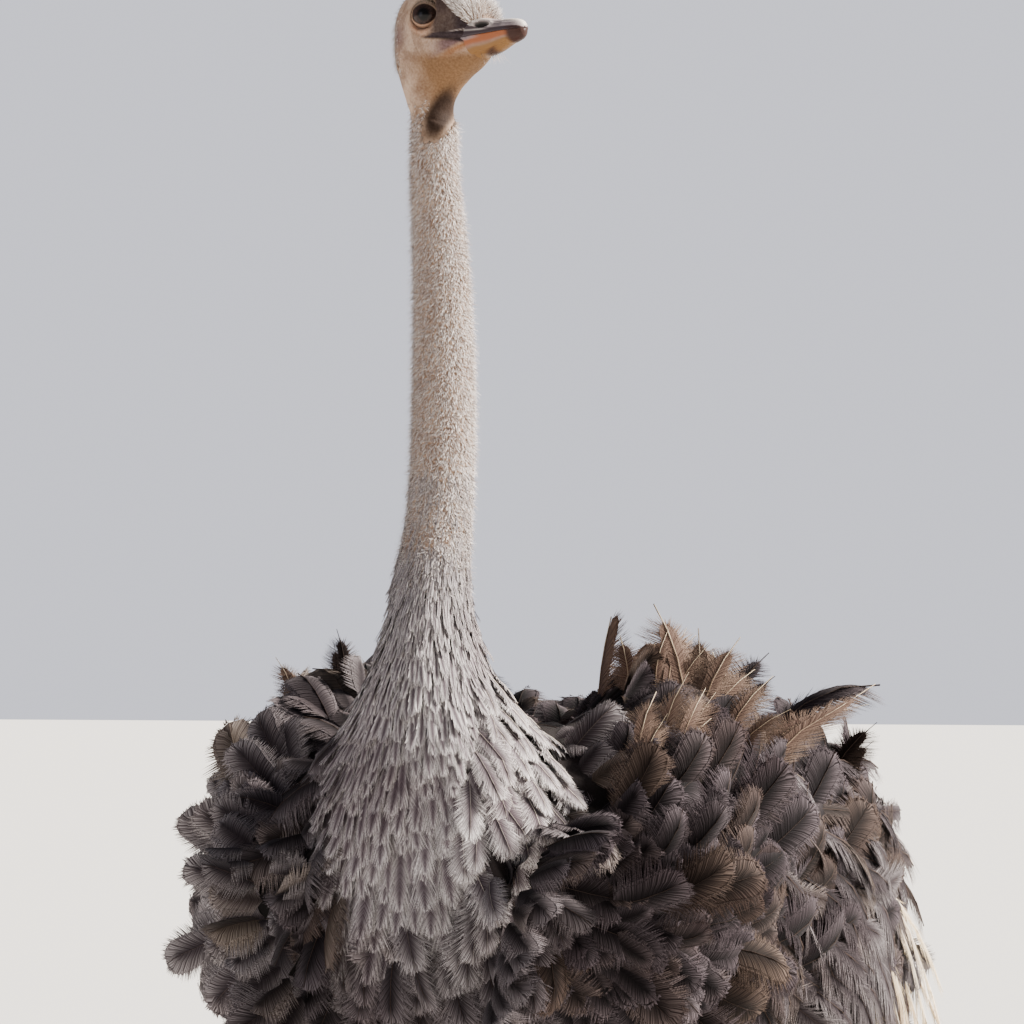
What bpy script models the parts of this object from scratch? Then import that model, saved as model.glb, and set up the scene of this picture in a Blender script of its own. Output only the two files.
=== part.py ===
"""Ostrich hen, life size, standing with her neck up and her head turned to her left.

She faces -Y, her left side is +X, and the floor is Z = 0. Each solid reaches to the tips of the
feathers. The origin is on the floor, under the middle of the box that holds the whole bird.
"""

import math

import bmesh
import bpy
import numpy as np
from mathutils import Matrix, Vector

# Driving dimensions, in metres.
TRUNK_Y = -0.138  # the middle of the trunk, ahead of the origin
STAGGER = 0.055  # the left foot stands this far ahead of the hips and the right one this far behind
GAP = 0.0004  # between neighbouring solids
FINE = 60  # rows of a curve that is then read at given heights

# Head: its own axes are +X forwards along the bill, +Y to its left and +Z up, from between the eyes.
HEAD_PLACE = Vector((0.018, TRUNK_Y - 0.427, 1.865))
HEAD_TURN = math.radians(-27.0)  # of the bill, from +X
HEAD_PITCH = math.radians(3.0)  # of the bill, above level
MOUTH_Z = -0.027
EYE_RADIUS = 0.018
EYE_OUT = 0.0190  # from the middle of the head to the middle of an eyeball
# Pits: place (for the left side) and radii, along the head's axes.
NOSTRIL = ((0.0600, 0.0200, -0.0145), (0.0070, 0.0040, 0.0034))
EAR = ((-0.0300, 0.0335, -0.0250), (0.0050, 0.0060, 0.0060))

# Neck: the heights where its lengths part.
NECK_TOP_CUT = 1.60
NECK_MIDDLE_CUT = 1.36

# Shapes as stations, each a row of numbers. A smooth curve runs through every column.
# Trunk: y from its middle, centre height, half width, rise above the centre, drop below it.
TRUNK = (
    (-0.558, 0.955, 0.040, 0.038, 0.040),
    (-0.532, 0.955, 0.118, 0.108, 0.118),
    (-0.455, 0.951, 0.200, 0.178, 0.200),
    (-0.310, 0.945, 0.264, 0.208, 0.262),
    (-0.110, 0.940, 0.304, 0.218, 0.282),
    (0.110, 0.940, 0.315, 0.228, 0.272),
    (0.310, 0.940, 0.305, 0.218, 0.236),
    (0.460, 0.935, 0.250, 0.184, 0.182),
    (0.560, 0.930, 0.150, 0.122, 0.120),
    (0.606, 0.925, 0.035, 0.035, 0.035),
)
# Neck: centre height, y from the trunk's middle, half width, half depth.
NECK = (
    (1.810, -0.4170, 0.0300, 0.0300),
    (1.745, -0.4180, 0.0270, 0.0275),
    (1.670, -0.4080, 0.0300, 0.0310),
    (1.565, -0.4000, 0.0345, 0.0355),
    (1.460, -0.3980, 0.0365, 0.0375),
    (1.355, -0.4000, 0.0370, 0.0390),
    (1.292, -0.4120, 0.0425, 0.0520),
    (1.250, -0.4220, 0.0510, 0.0680),
    (1.208, -0.4280, 0.0660, 0.0870),
    (1.166, -0.4250, 0.0870, 0.1130),
    (1.120, -0.4080, 0.1220, 0.1480),
    (1.060, -0.3650, 0.1720, 0.1860),
    (0.980, -0.3200, 0.1900, 0.1950),
)
# Wing: y from the trunk's middle, centre x and height, half thickness, rise and drop.
WING = (
    (-0.435, 0.150, 0.985, 0.022, 0.045, 0.045),
    (-0.405, 0.165, 0.980, 0.085, 0.125, 0.125),
    (-0.320, 0.180, 0.972, 0.135, 0.200, 0.200),
    (-0.190, 0.190, 0.962, 0.158, 0.240, 0.235),
    (-0.050, 0.202, 0.948, 0.160, 0.246, 0.250),
    (0.080, 0.218, 0.920, 0.154, 0.240, 0.250),
    (0.190, 0.232, 0.885, 0.140, 0.200, 0.225),
    (0.285, 0.242, 0.850, 0.116, 0.140, 0.175),
    (0.345, 0.250, 0.820, 0.076, 0.070, 0.100),
    (0.365, 0.250, 0.805, 0.022, 0.020, 0.030),
)
# Tail: y from the trunk's middle, centre height, half width, half thickness.
TAIL = (
    (0.440, 1.010, 0.130, 0.085),
    (0.540, 0.990, 0.165, 0.098),
    (0.640, 0.935, 0.185, 0.096),
    (0.720, 0.860, 0.190, 0.082),
    (0.775, 0.775, 0.165, 0.062),
    (0.800, 0.705, 0.110, 0.036),
    (0.806, 0.670, 0.035, 0.012),
)
# Leg: x, y from the trunk's middle, height, half width, half depth.
LEG = (
    (0.150, -0.055, 0.880, 0.088, 0.135),
    (0.149, -0.010, 0.780, 0.086, 0.130),
    (0.143, 0.048, 0.670, 0.068, 0.096),
    (0.133, 0.098, 0.565, 0.043, 0.056),
    (0.124, 0.126, 0.500, 0.034, 0.043),
    (0.121, 0.135, 0.460, 0.038, 0.047),
    (0.119, 0.128, 0.410, 0.028, 0.035),
    (0.117, 0.107, 0.280, 0.0205, 0.0260),
    (0.115, 0.088, 0.150, 0.0215, 0.0260),
    (0.115, 0.077, 0.080, 0.0290, 0.0330),
    (0.115, 0.070, 0.040, 0.0270, 0.0290),
)
WING_LEAN = {"left": 0.05, "right": 0.16}  # how far a wing leans in, for each unit of height
HOCK_CUT = 0.432  # height where the thigh ends and the shank starts
LEG_FOOT_SHIFT_TOP = 0.78  # above this height the legs don't share in the stagger
# Toe: distance from the foot's joint, centre height, half width, rise, drop.
INNER_TOE = (
    (-0.050, 0.024, 0.008, 0.008, 0.012),
    (-0.040, 0.028, 0.022, 0.022, 0.032),
    (-0.005, 0.034, 0.032, 0.034, 0.040),
    (0.035, 0.029, 0.029, 0.027, 0.034),
    (0.075, 0.025, 0.031, 0.023, 0.030),
    (0.115, 0.021, 0.028, 0.019, 0.026),
    (0.145, 0.017, 0.021, 0.015, 0.022),
    (0.158, 0.015, 0.010, 0.008, 0.012),
)
OUTER_TOE = (
    (0.000, 0.022, 0.018, 0.018, 0.026),
    (0.030, 0.021, 0.019, 0.018, 0.026),
    (0.060, 0.018, 0.0195, 0.015, 0.023),
    (0.085, 0.015, 0.015, 0.012, 0.020),
    (0.097, 0.013, 0.006, 0.006, 0.010),
)
OUTER_TOE_SPLAY = math.radians(27.0)
OUTER_TOE_ROOT = (0.018, 0.008)  # from the foot's joint: out to the side and back
SHANK_BOTTOM = 0.045
# Claw: where it starts along its toe, its length and its radius at the root.
INNER_CLAW = (0.148, 0.046, 0.0125)
OUTER_CLAW = (0.088, 0.018, 0.0075)
CLAW_TIP = 0.22  # the tip's radius, as a share of the root's
CLAW_LEAN = 0.16  # drop for each unit of length
PAD_SINK = 0.003  # how far the toes' pads are pressed flat
# Skull and jaw: forward place, centre height, half width, rise, drop, all in the head's axes.
SKULL = (
    (-0.0680, -0.040, 0.0060, 0.007, 0.008),
    (-0.0630, -0.038, 0.0190, 0.022, 0.022),
    (-0.0500, -0.030, 0.0285, 0.041, 0.043),
    (-0.0300, -0.022, 0.0340, 0.052, 0.058),
    (-0.0080, -0.018, 0.0372, 0.055, 0.063),
    (0.0120, -0.017, 0.0365, 0.051, 0.061),
    (0.0300, -0.019, 0.0325, 0.042, 0.052),
    (0.0450, -0.021, 0.0275, 0.034, 0.039),
)
# Bill: forward place, half width, rise above the mouth and drop below it.
BILL = (
    (0.0450, 0.0275, 0.0390, 0.0335),
    (0.0570, 0.0240, 0.0270, 0.0265),
    (0.0700, 0.0210, 0.0190, 0.0200),
    (0.0830, 0.0185, 0.0145, 0.0155),
    (0.0980, 0.0155, 0.0120, 0.0120),
    (0.1080, 0.0120, 0.0105, 0.0095),
    (0.1150, 0.0070, 0.0075, 0.0060),
    (0.1180, 0.0022, 0.0035, 0.0025),
)

# Facets of each body: rings along it, and corners round a ring.
FACETS = {
    "trunk": (18, 26),
    "neck_upper": (7, 22),
    "neck_middle": (6, 22),
    "neck_lower": (11, 22),
    "wing": (15, 20),
    "tail": (10, 18),
    "thigh": (10, 16),
    "shank": (10, 16),
    "toe_inner": (12, 14),
    "toe_outer": (8, 14),
    "head": (16, 26),
    "bill": (11, 20),
    "eye": (8, 14),
    "pit": (6, 10),
    "claw": (1, 12),
}

# sRGB colours with roughness.
FINISHES = {
    "dark_plumage": ("54483F", 0.85),
    "grey_plumage": ("9A8F8B", 0.85),
    "neck_down": ("B9AB9C", 0.9),
    "face_skin": ("8F7B6E", 0.6),
    "bill_horn": ("6B5A50", 0.4),
    "eye": ("2A1C18", 0.05),
    "leg_skin": ("8D8178", 0.55),
    "claw_horn": ("4A423C", 0.4),
}


def flow(stations, count):
    """This many rows, evenly spaced along a smooth (Catmull-Rom) curve through the stations."""
    rows = np.array(stations, float)
    rows = np.vstack([2 * rows[0] - rows[1], rows, 2 * rows[-1] - rows[-2]])
    along = np.linspace(0.0, len(stations) - 1.0, count)
    first = np.minimum(along.astype(int), len(stations) - 2)
    part = (along - first)[:, None]
    a, b, c, d = (rows[first + k] for k in range(4))
    bend = (2 * a - 5 * b + 4 * c - d) * part**2 + (3 * b - a - 3 * c + d) * part**3
    return 0.5 * (2 * b + (c - a) * part + bend)


def oval(centre, side, up, half_width, rise, drop, count):
    """A closed ring round a centre: half_width along side, rise along up, and drop the other way."""
    turn = np.linspace(0.0, 2.0 * math.pi, count, endpoint=False)
    height = np.sin(turn) * np.where(np.sin(turn) > 0.0, rise, drop)
    return centre + np.outer(np.cos(turn) * half_width, side) + np.outer(height, up)


def linear(hex_colour):
    """The linear colour of an sRGB hex value."""
    parts = [int(hex_colour[i : i + 2], 16) / 255.0 for i in (0, 2, 4)]
    return [c / 12.92 if c <= 0.04045 else ((c + 0.055) / 1.055) ** 2.4 for c in parts]


def make_finish(name):
    colour, roughness = FINISHES[name]
    finish = bpy.data.materials.new(name)
    finish.use_nodes = True
    shader = finish.node_tree.nodes["Principled BSDF"]
    shader.inputs["Base Color"].default_value = (*linear(colour), 1.0)
    shader.inputs["Roughness"].default_value = roughness
    return finish


def clear_scene():
    for old in list(bpy.data.objects):
        bpy.data.objects.remove(old)


def add_object(name, shape, finish):
    """Makes an object of a bmesh in the bird's collection. Triangles keep a cut parallel to its neighbour."""
    mesh = bpy.data.meshes.new(name)
    bmesh.ops.triangulate(shape, faces=shape.faces)
    bmesh.ops.recalc_face_normals(shape, faces=shape.faces)
    shape.to_mesh(mesh)
    shape.free()
    mesh.shade_smooth()
    mesh.materials.append(finish)
    made = bpy.data.objects.new(name, mesh)
    bird.objects.link(made)
    return made


def loft(name, rings, finish, domes=(0.0, 0.0)):
    """A closed body through rings of equal length. Each end's middle stands out by its dome."""
    shape = bmesh.new()
    loops = [[shape.verts.new(point) for point in ring] for ring in rings]
    for near, far in zip(loops, loops[1:]):
        for i, corner in enumerate(near):
            j = (i + 1) % len(near)
            shape.faces.new((corner, near[j], far[j], far[i]))
    for end, inward, dome in ((0, 1, domes[0]), (-1, -2, domes[1])):
        middle = rings[end].mean(axis=0)
        outward = middle - rings[inward].mean(axis=0)
        tip = shape.verts.new(middle + outward / np.linalg.norm(outward) * dome)
        for i, corner in enumerate(loops[end]):
            shape.faces.new((corner, loops[end][(i + 1) % len(loops[end])], tip))
    return add_object(name, shape, finish)


def cut_by(piece, *neighbours):
    """Takes a neighbour's shape, grown by the gap, out of a piece."""
    for neighbour in neighbours:
        grown = bpy.data.objects.new(f"cut_{piece.name}_{neighbour.name}", neighbour.data.copy())
        grown.matrix_world = neighbour.matrix_world
        for vertex in grown.data.vertices:
            vertex.co += vertex.normal * GAP
        grown.hide_render = True
        grown.display_type = "WIRE"
        cutters.objects.link(grown)
        cut = piece.modifiers.new(f"clear_of_{neighbour.name}", "BOOLEAN")
        cut.operation = "DIFFERENCE"
        cut.object = grown


def make_trunk():
    count, corners = FACETS["trunk"]
    rings = []
    for y, z, half_width, rise, drop in flow(TRUNK, count):
        centre = np.array((0.0, TRUNK_Y + y, z))
        rings.append(oval(centre, (1, 0, 0), (0, 0, 1), half_width, rise, drop, corners))
    return loft("trunk", rings, finishes["dark_plumage"], (0.004, 0.004))


def columns_at(rows, key, value):
    """The row that has this value in its key column, between two rows of a finely divided flow."""
    order = np.argsort(rows[:, key])
    return [np.interp(value, rows[order, key], column[order]) for column in rows.T]


def make_neck(head, bill_lower, trunk):
    """The neck in three lengths, from the head down into the trunk."""
    rows = flow(NECK, FINE)
    lengths = (
        ("neck_upper", NECK[0][0], NECK_TOP_CUT + GAP, "neck_down"),
        ("neck_middle", NECK_TOP_CUT, NECK_MIDDLE_CUT + GAP, "neck_down"),
        ("neck_lower", NECK_MIDDLE_CUT, NECK[-1][0], "grey_plumage"),
    )
    made = []
    for name, top, bottom, finish in lengths:
        count, corners = FACETS[name]
        rings = []
        for height in np.linspace(top, bottom, count):
            z, y, half_width, half_depth = columns_at(rows, 0, height)
            centre = np.array((0.0, TRUNK_Y + y, z))
            rings.append(oval(centre, (1, 0, 0), (0, -1, 0), half_width, half_depth, half_depth, corners))
        made.append(loft(name, rings, finishes[finish]))
    cut_by(made[0], head, bill_lower)
    cut_by(made[2], trunk)
    return made


def make_wing(side, name, trunk, neck_lower):
    """A folded wing with its loose plumes, lying on the trunk."""
    count, corners = FACETS["wing"]
    lean = (-side * WING_LEAN[name], 0, 1)
    rings = []
    for y, x, z, half_thick, rise, drop in flow(WING, count):
        centre = np.array((side * x, TRUNK_Y + y, z))
        rings.append(oval(centre, (side, 0, 0), lean, half_thick, rise, drop, corners))
    wing = loft(f"wing_{name}", rings, finishes["dark_plumage"], (0.003, 0.003))
    cut_by(wing, trunk, neck_lower)
    return wing


def make_tail(trunk):
    """The drooping bunch of tail plumes; each ring is square to the line that the tail follows."""
    count, corners = FACETS["tail"]
    rows = flow(TAIL, count)
    rings = []
    for i, (y, z, half_width, half_thick) in enumerate(rows):
        ahead = rows[min(i + 1, len(rows) - 1)][:2] - rows[max(i - 1, 0)][:2]
        ahead /= np.linalg.norm(ahead)
        up = (0.0, -ahead[1], ahead[0])
        centre = np.array((0.0, TRUNK_Y + y, z))
        rings.append(oval(centre, (1, 0, 0), up, half_width, half_thick, half_thick, corners))
    tail = loft("tail", rings, finishes["dark_plumage"], (0.0, 0.003))
    cut_by(tail, trunk)
    return tail


def leg_shift(z, step):
    """How far a point of the leg moves with its foot: not at all at the hip, all the way at the floor."""
    return step * min(1.0, max(0.0, (LEG_FOOT_SHIFT_TOP - z) / LEG_FOOT_SHIFT_TOP)) ** 0.8


def leg_rings(side, step, top, bottom, facets):
    """Rings of the leg between two heights. They lie level, which keeps the cut at the hock thin."""
    count, corners = facets
    rows = flow(LEG, FINE)
    rings = []
    for height in np.linspace(top, bottom, count):
        x, y, z, half_width, half_depth = columns_at(rows, 2, height)
        centre = np.array((side * x, TRUNK_Y + y + leg_shift(z, step), z))
        rings.append(oval(centre, (1, 0, 0), (0, -1, 0), half_width, half_depth, half_depth, corners))
    return rings


def toe_rings(stations, root, splay, facets):
    """Rings of a toe that runs forwards from its root, flat where it stands on the floor."""
    count, corners = facets
    ahead = np.array((math.sin(splay), -math.cos(splay), 0.0))
    across = np.array((math.cos(splay), math.sin(splay), 0.0))
    rings = []
    for along, z, half_width, rise, drop in flow(stations, count):
        centre = root + ahead * along + (0.0, 0.0, z)
        ring = oval(centre, across, (0, 0, 1), half_width, rise, drop, corners)
        ring[:, 2] = np.maximum(ring[:, 2] - PAD_SINK, 0.0)
        rings.append(ring)
    return rings


def make_claw(name, root, splay, sizes, toe):
    """A blunt nail: a cone that leaves the toe's end and leans down to the floor."""
    along, length, radius = sizes
    shape = bmesh.new()
    bmesh.ops.create_cone(
        shape,
        cap_ends=True,
        segments=FACETS["claw"][1],
        radius1=radius,
        radius2=radius * CLAW_TIP,
        depth=length,
    )
    forwards = Vector((math.sin(splay), -math.cos(splay), 0.0))
    place = Vector(root) + forwards * (along + length / 2)
    place.z = radius * 1.05
    ahead = (forwards + Vector((0.0, 0.0, -CLAW_LEAN))).normalized()
    claw = add_object(name, shape, finishes["claw_horn"])
    claw.matrix_world = Matrix.Translation(place) @ ahead.to_track_quat("Z", "Y").to_matrix().to_4x4()
    cut_by(claw, toe)


def make_leg(side, name, step, trunk, wing):
    """Thigh, shank, two toes and their claws. A hen's outer toe is the shorter one."""
    top, bottom = LEG[0][2], SHANK_BOTTOM
    thigh_rings = leg_rings(side, step, top, HOCK_CUT + GAP, FACETS["thigh"])
    thigh = loft(f"thigh_{name}", thigh_rings, finishes["leg_skin"])
    shank_rings = leg_rings(side, step, HOCK_CUT, bottom, FACETS["shank"])
    shank = loft(f"shank_{name}", shank_rings, finishes["leg_skin"])
    root = np.array((side * LEG[-1][0], TRUNK_Y + LEG[-1][1] + step, 0.0))
    outer_root = root + (side * OUTER_TOE_ROOT[0], OUTER_TOE_ROOT[1], 0.0)
    splay = side * OUTER_TOE_SPLAY
    inner_rings = toe_rings(INNER_TOE, root, 0.0, FACETS["toe_inner"])
    inner = loft(f"toe_inner_{name}", inner_rings, finishes["leg_skin"])
    outer_rings = toe_rings(OUTER_TOE, outer_root, splay, FACETS["toe_outer"])
    outer = loft(f"toe_outer_{name}", outer_rings, finishes["leg_skin"])
    cut_by(outer, inner)
    cut_by(shank, inner, outer)
    cut_by(thigh, trunk, wing)
    make_claw(f"claw_inner_{name}", root, 0.0, INNER_CLAW, inner)
    make_claw(f"claw_outer_{name}", outer_root, splay, OUTER_CLAW, outer)


def cut_pits(piece, pit, pose):
    """Sinks the same small oval pit into the piece's left and right sides."""
    (x, y, z), radii = pit
    for side in (1, -1):
        shape = bmesh.new()
        bmesh.ops.create_uvsphere(
            shape, u_segments=FACETS["pit"][1], v_segments=FACETS["pit"][0], radius=1.0
        )
        mesh = bpy.data.meshes.new(f"pit_{piece.name}_{side}")
        shape.to_mesh(mesh)
        shape.free()
        cutter = bpy.data.objects.new(mesh.name, mesh)
        cutter.matrix_world = pose @ Matrix.Translation((x, side * y, z)) @ Matrix.Diagonal((*radii, 1.0))
        cutter.hide_render = True
        cutter.display_type = "WIRE"
        cutters.objects.link(cutter)
        cut = piece.modifiers.new(f"pit_{side}", "BOOLEAN")
        cut.operation = "DIFFERENCE"
        cut.object = cutter


def make_head():
    """Head, eyes and the two halves of the bill, parented to an empty that holds the head's pose."""
    pose = bpy.data.objects.new("head_pose", None)
    bird.objects.link(pose)
    turn = Matrix.Rotation(HEAD_TURN, 4, "Z") @ Matrix.Rotation(-HEAD_PITCH, 4, "Y")
    pose.matrix_world = Matrix.Translation(HEAD_PLACE) @ turn
    side, up = (0, 1, 0), (0, 0, 1)
    count, corners = FACETS["head"]
    rings = [
        oval(np.array((x, 0.0, z)), side, up, half_width, rise, drop, corners)
        for x, z, half_width, rise, drop in flow(SKULL, count)
    ]
    head = loft("head", rings, finishes["face_skin"], (0.001, 0.0))
    count, corners = FACETS["bill"]
    upper_rings, lower_rings = [], []
    for x, half_width, rise, drop in flow(BILL, count):
        ring = oval(np.array((x + GAP, 0.0, MOUTH_Z)), side, up, half_width, rise, drop, corners)
        above, below = ring.copy(), ring.copy()
        above[:, 2] = np.maximum(ring[:, 2], MOUTH_Z + GAP / 2)
        below[:, 2] = np.minimum(ring[:, 2], MOUTH_Z - GAP / 2)
        upper_rings.append(above)
        lower_rings.append(below)
    upper = loft("bill_upper", upper_rings, finishes["bill_horn"])
    lower = loft("bill_lower", lower_rings, finishes["bill_horn"])
    pieces = [head, upper, lower]
    for sign, name in ((1, "left"), (-1, "right")):
        shape = bmesh.new()
        bmesh.ops.create_uvsphere(
            shape, u_segments=FACETS["eye"][1], v_segments=FACETS["eye"][0], radius=EYE_RADIUS
        )
        eye = add_object(f"eye_{name}", shape, finishes["eye"])
        eye.location = (0.0, sign * EYE_OUT, 0.0)
        pieces.append(eye)
    for piece in pieces:
        piece.parent = pose
    bpy.context.view_layer.update()
    cut_by(head, *pieces[3:])
    cut_pits(head, EAR, pose.matrix_world)
    cut_pits(upper, NOSTRIL, pose.matrix_world)
    return head, lower


clear_scene()
bird = bpy.data.collections.new("ostrich")
cutters = bpy.data.collections.new("cutters")
bpy.context.scene.collection.children.link(bird)
bpy.context.scene.collection.children.link(cutters)
finishes = {name: make_finish(name) for name in FINISHES}

trunk = make_trunk()
head, bill_lower = make_head()
neck_upper, neck_middle, neck_lower = make_neck(head, bill_lower, trunk)
for side, name in ((1, "left"), (-1, "right")):
    wing = make_wing(side, name, trunk, neck_lower)
    make_leg(side, name, -side * STAGGER, trunk, wing)
make_tail(trunk)
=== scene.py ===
import math

import bpy
import numpy as np
from mathutils import Matrix, Vector


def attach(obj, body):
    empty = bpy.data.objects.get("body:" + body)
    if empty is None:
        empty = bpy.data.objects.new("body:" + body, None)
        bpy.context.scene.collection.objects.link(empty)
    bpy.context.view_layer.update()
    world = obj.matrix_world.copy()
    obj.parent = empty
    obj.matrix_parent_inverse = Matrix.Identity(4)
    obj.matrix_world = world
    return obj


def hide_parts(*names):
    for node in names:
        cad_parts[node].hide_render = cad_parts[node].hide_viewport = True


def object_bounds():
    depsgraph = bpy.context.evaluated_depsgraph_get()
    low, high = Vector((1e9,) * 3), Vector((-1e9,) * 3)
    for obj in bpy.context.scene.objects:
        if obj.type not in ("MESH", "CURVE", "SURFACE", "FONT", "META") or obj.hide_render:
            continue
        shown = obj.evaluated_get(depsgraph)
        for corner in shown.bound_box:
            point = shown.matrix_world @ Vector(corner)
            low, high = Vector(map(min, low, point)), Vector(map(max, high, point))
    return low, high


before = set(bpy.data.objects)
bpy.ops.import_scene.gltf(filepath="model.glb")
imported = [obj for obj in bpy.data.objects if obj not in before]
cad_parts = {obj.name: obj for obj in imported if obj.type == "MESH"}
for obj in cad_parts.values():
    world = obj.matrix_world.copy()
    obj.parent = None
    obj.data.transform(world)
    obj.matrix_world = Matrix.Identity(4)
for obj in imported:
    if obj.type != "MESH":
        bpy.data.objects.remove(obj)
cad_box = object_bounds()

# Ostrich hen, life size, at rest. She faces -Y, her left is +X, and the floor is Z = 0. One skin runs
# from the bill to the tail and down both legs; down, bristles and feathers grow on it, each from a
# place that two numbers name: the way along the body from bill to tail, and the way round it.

# ---------------------------------------------------------------- driving sizes, in metres

TRUNK_Y = -0.138  # middle of the trunk
NECK_AHEAD = 0.400  # of the trunk's middle
STAGGER = 0.055  # left foot ahead, right foot back
HEAD_PLACE = np.array((0.018, TRUNK_Y - 0.427, 1.865))  # between the eyes
HEAD_TURN = math.radians(-27.0)  # of the bill, from +X
HEAD_PITCH = math.radians(3.0)
EYE_RADIUS = 0.0180

HEAD_TURNED = (
    Matrix.Translation(Vector(HEAD_PLACE))
    @ Matrix.Rotation(HEAD_TURN, 4, "Z")
    @ Matrix.Rotation(-HEAD_PITCH, 4, "Y")
)
HEAD_AXES = np.array(HEAD_TURNED)[:3, :3]  # columns: forwards, to her left, up

EYE_MIDDLE = np.array((-0.0024, 0.0205, 0.0002))  # of her left eyeball, in head axes
EYE_TURN = math.radians(22.0)  # how far an eye's opening faces forwards from straight out
GAZE = math.radians(4.0)  # how much further forwards the eyeball looks

chance = np.random.default_rng(7)


# ---------------------------------------------------------------- small tools


def eye_axes(side):
    """Columns: the eye's own forwards, outwards and up, in head axes."""
    fore, out = math.cos(EYE_TURN), math.sin(EYE_TURN)
    return np.array(((fore, out, 0.0), (-side * out, side * fore, 0.0), (0.0, 0.0, 1.0)))


def from_eye(points, side):
    """Eye axes to world."""
    return from_head(EYE_MIDDLE * (1.0, side, 1.0) + points @ eye_axes(side).T)


def to_eye(local, side):
    """Head axes to eye axes."""
    return (local - EYE_MIDDLE * (1.0, side, 1.0)) @ eye_axes(side)


def smooth(x, low, high):
    """0 below low and 1 above high, with a soft S between them: 3t^2 - 2t^3."""
    t = np.clip((np.asarray(x, float) - low) / (high - low), 0.0, 1.0)
    return t * t * (3.0 - 2.0 * t)


def hump(x, width):
    """1 at 0, falling softly to either side: exp(-(x / width)^2)."""
    return np.exp(-((x / width) ** 2))


def unit(rows):
    """Each vector divided by its length."""
    return rows / np.maximum(np.linalg.norm(rows, axis=-1, keepdims=True), 1e-12)


def flow(stations, at):
    """A Catmull-Rom curve through the stations, read at these station numbers (whole or not)."""
    rows = np.asarray(stations, float)
    rows = np.concatenate([2 * rows[:1] - rows[1:2], rows, 2 * rows[-1:] - rows[-2:-1]])
    at = np.clip(np.asarray(at, float), 0.0, len(stations) - 1.0)
    first = np.minimum(at.astype(int), len(stations) - 2)
    part = (at - first)[..., None]
    a, b, c, d = (rows[first + k] for k in range(4))
    return 0.5 * (
        2 * b + (c - a) * part + (2 * a - 5 * b + 4 * c - d) * part**2 + (3 * b - a - 3 * c + d) * part**3
    )


def linear(hex_colour):
    """The linear colour of an sRGB hex value."""
    parts = [int(hex_colour[i : i + 2], 16) / 255.0 for i in (0, 2, 4)]
    return (*[c / 12.92 if c <= 0.04045 else ((c + 0.055) / 1.055) ** 2.4 for c in parts], 1.0)


def from_head(points):
    """Head axes (forwards, left, up, from between the eyes) to world."""
    return HEAD_PLACE + points @ HEAD_AXES.T


def to_head(points):
    """World to head axes."""
    return (points - HEAD_PLACE) @ HEAD_AXES


# ---------------------------------------------------------------- meshes


def grid_faces(rows, columns, closed=True):
    """Quads of a grid of points stored row by row; closed joins the last column to the first."""
    i = np.arange(rows - 1)[:, None]
    j = np.arange(columns if closed else columns - 1)[None, :]
    k = (j + 1) % columns
    corners = [i * columns + j, i * columns + k, (i + 1) * columns + k, (i + 1) * columns + j]
    return np.stack([np.broadcast_to(c, (rows - 1, j.size)) for c in corners], -1).reshape(-1, 4)


def tube_faces(rows, columns):
    """Faces of a tube stored ring by ring, closed at its ends onto two more points. The end's triangles
    are written as quads with a doubled corner."""
    parts = [grid_faces(rows, columns)]
    for ring, middle in (
        (np.arange(columns)[::-1], rows * columns),
        (np.arange(columns) + (rows - 1) * columns, rows * columns + 1),
    ):
        middle = np.full_like(ring, middle)
        parts.append(np.stack([ring, np.roll(ring, -1), middle, middle], -1))
    return np.concatenate(parts)


def with_ends(points):
    """A tube's points in one list, the middles of its first and its last ring at the end."""
    return np.concatenate([points.reshape(-1, 3), points[0].mean(0)[None], points[-1].mean(0)[None]])


LOW, HIGH = (np.array(corner) for corner in cad_box)
SPARE = 0.022 * (HIGH - LOW) + 0.004  # how far the coat's ends may stand out of the solids' box
SOFT = 0.06  # ends nearer to that limit than this are drawn in


def kept_inside(points):
    """Points near or past the limit round the solids' box are drawn in along each axis, so that the
    distance to the limit falls as the exponential exp(-excess / SOFT)."""
    for edge, sign in ((LOW - SPARE, -1.0), (HIGH + SPARE, 1.0)):
        past = np.maximum(sign * (points - edge) + SOFT, 0.0)
        points = points - sign * (past - SOFT * (1.0 - np.exp(-past / SOFT)))
    return points


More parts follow.
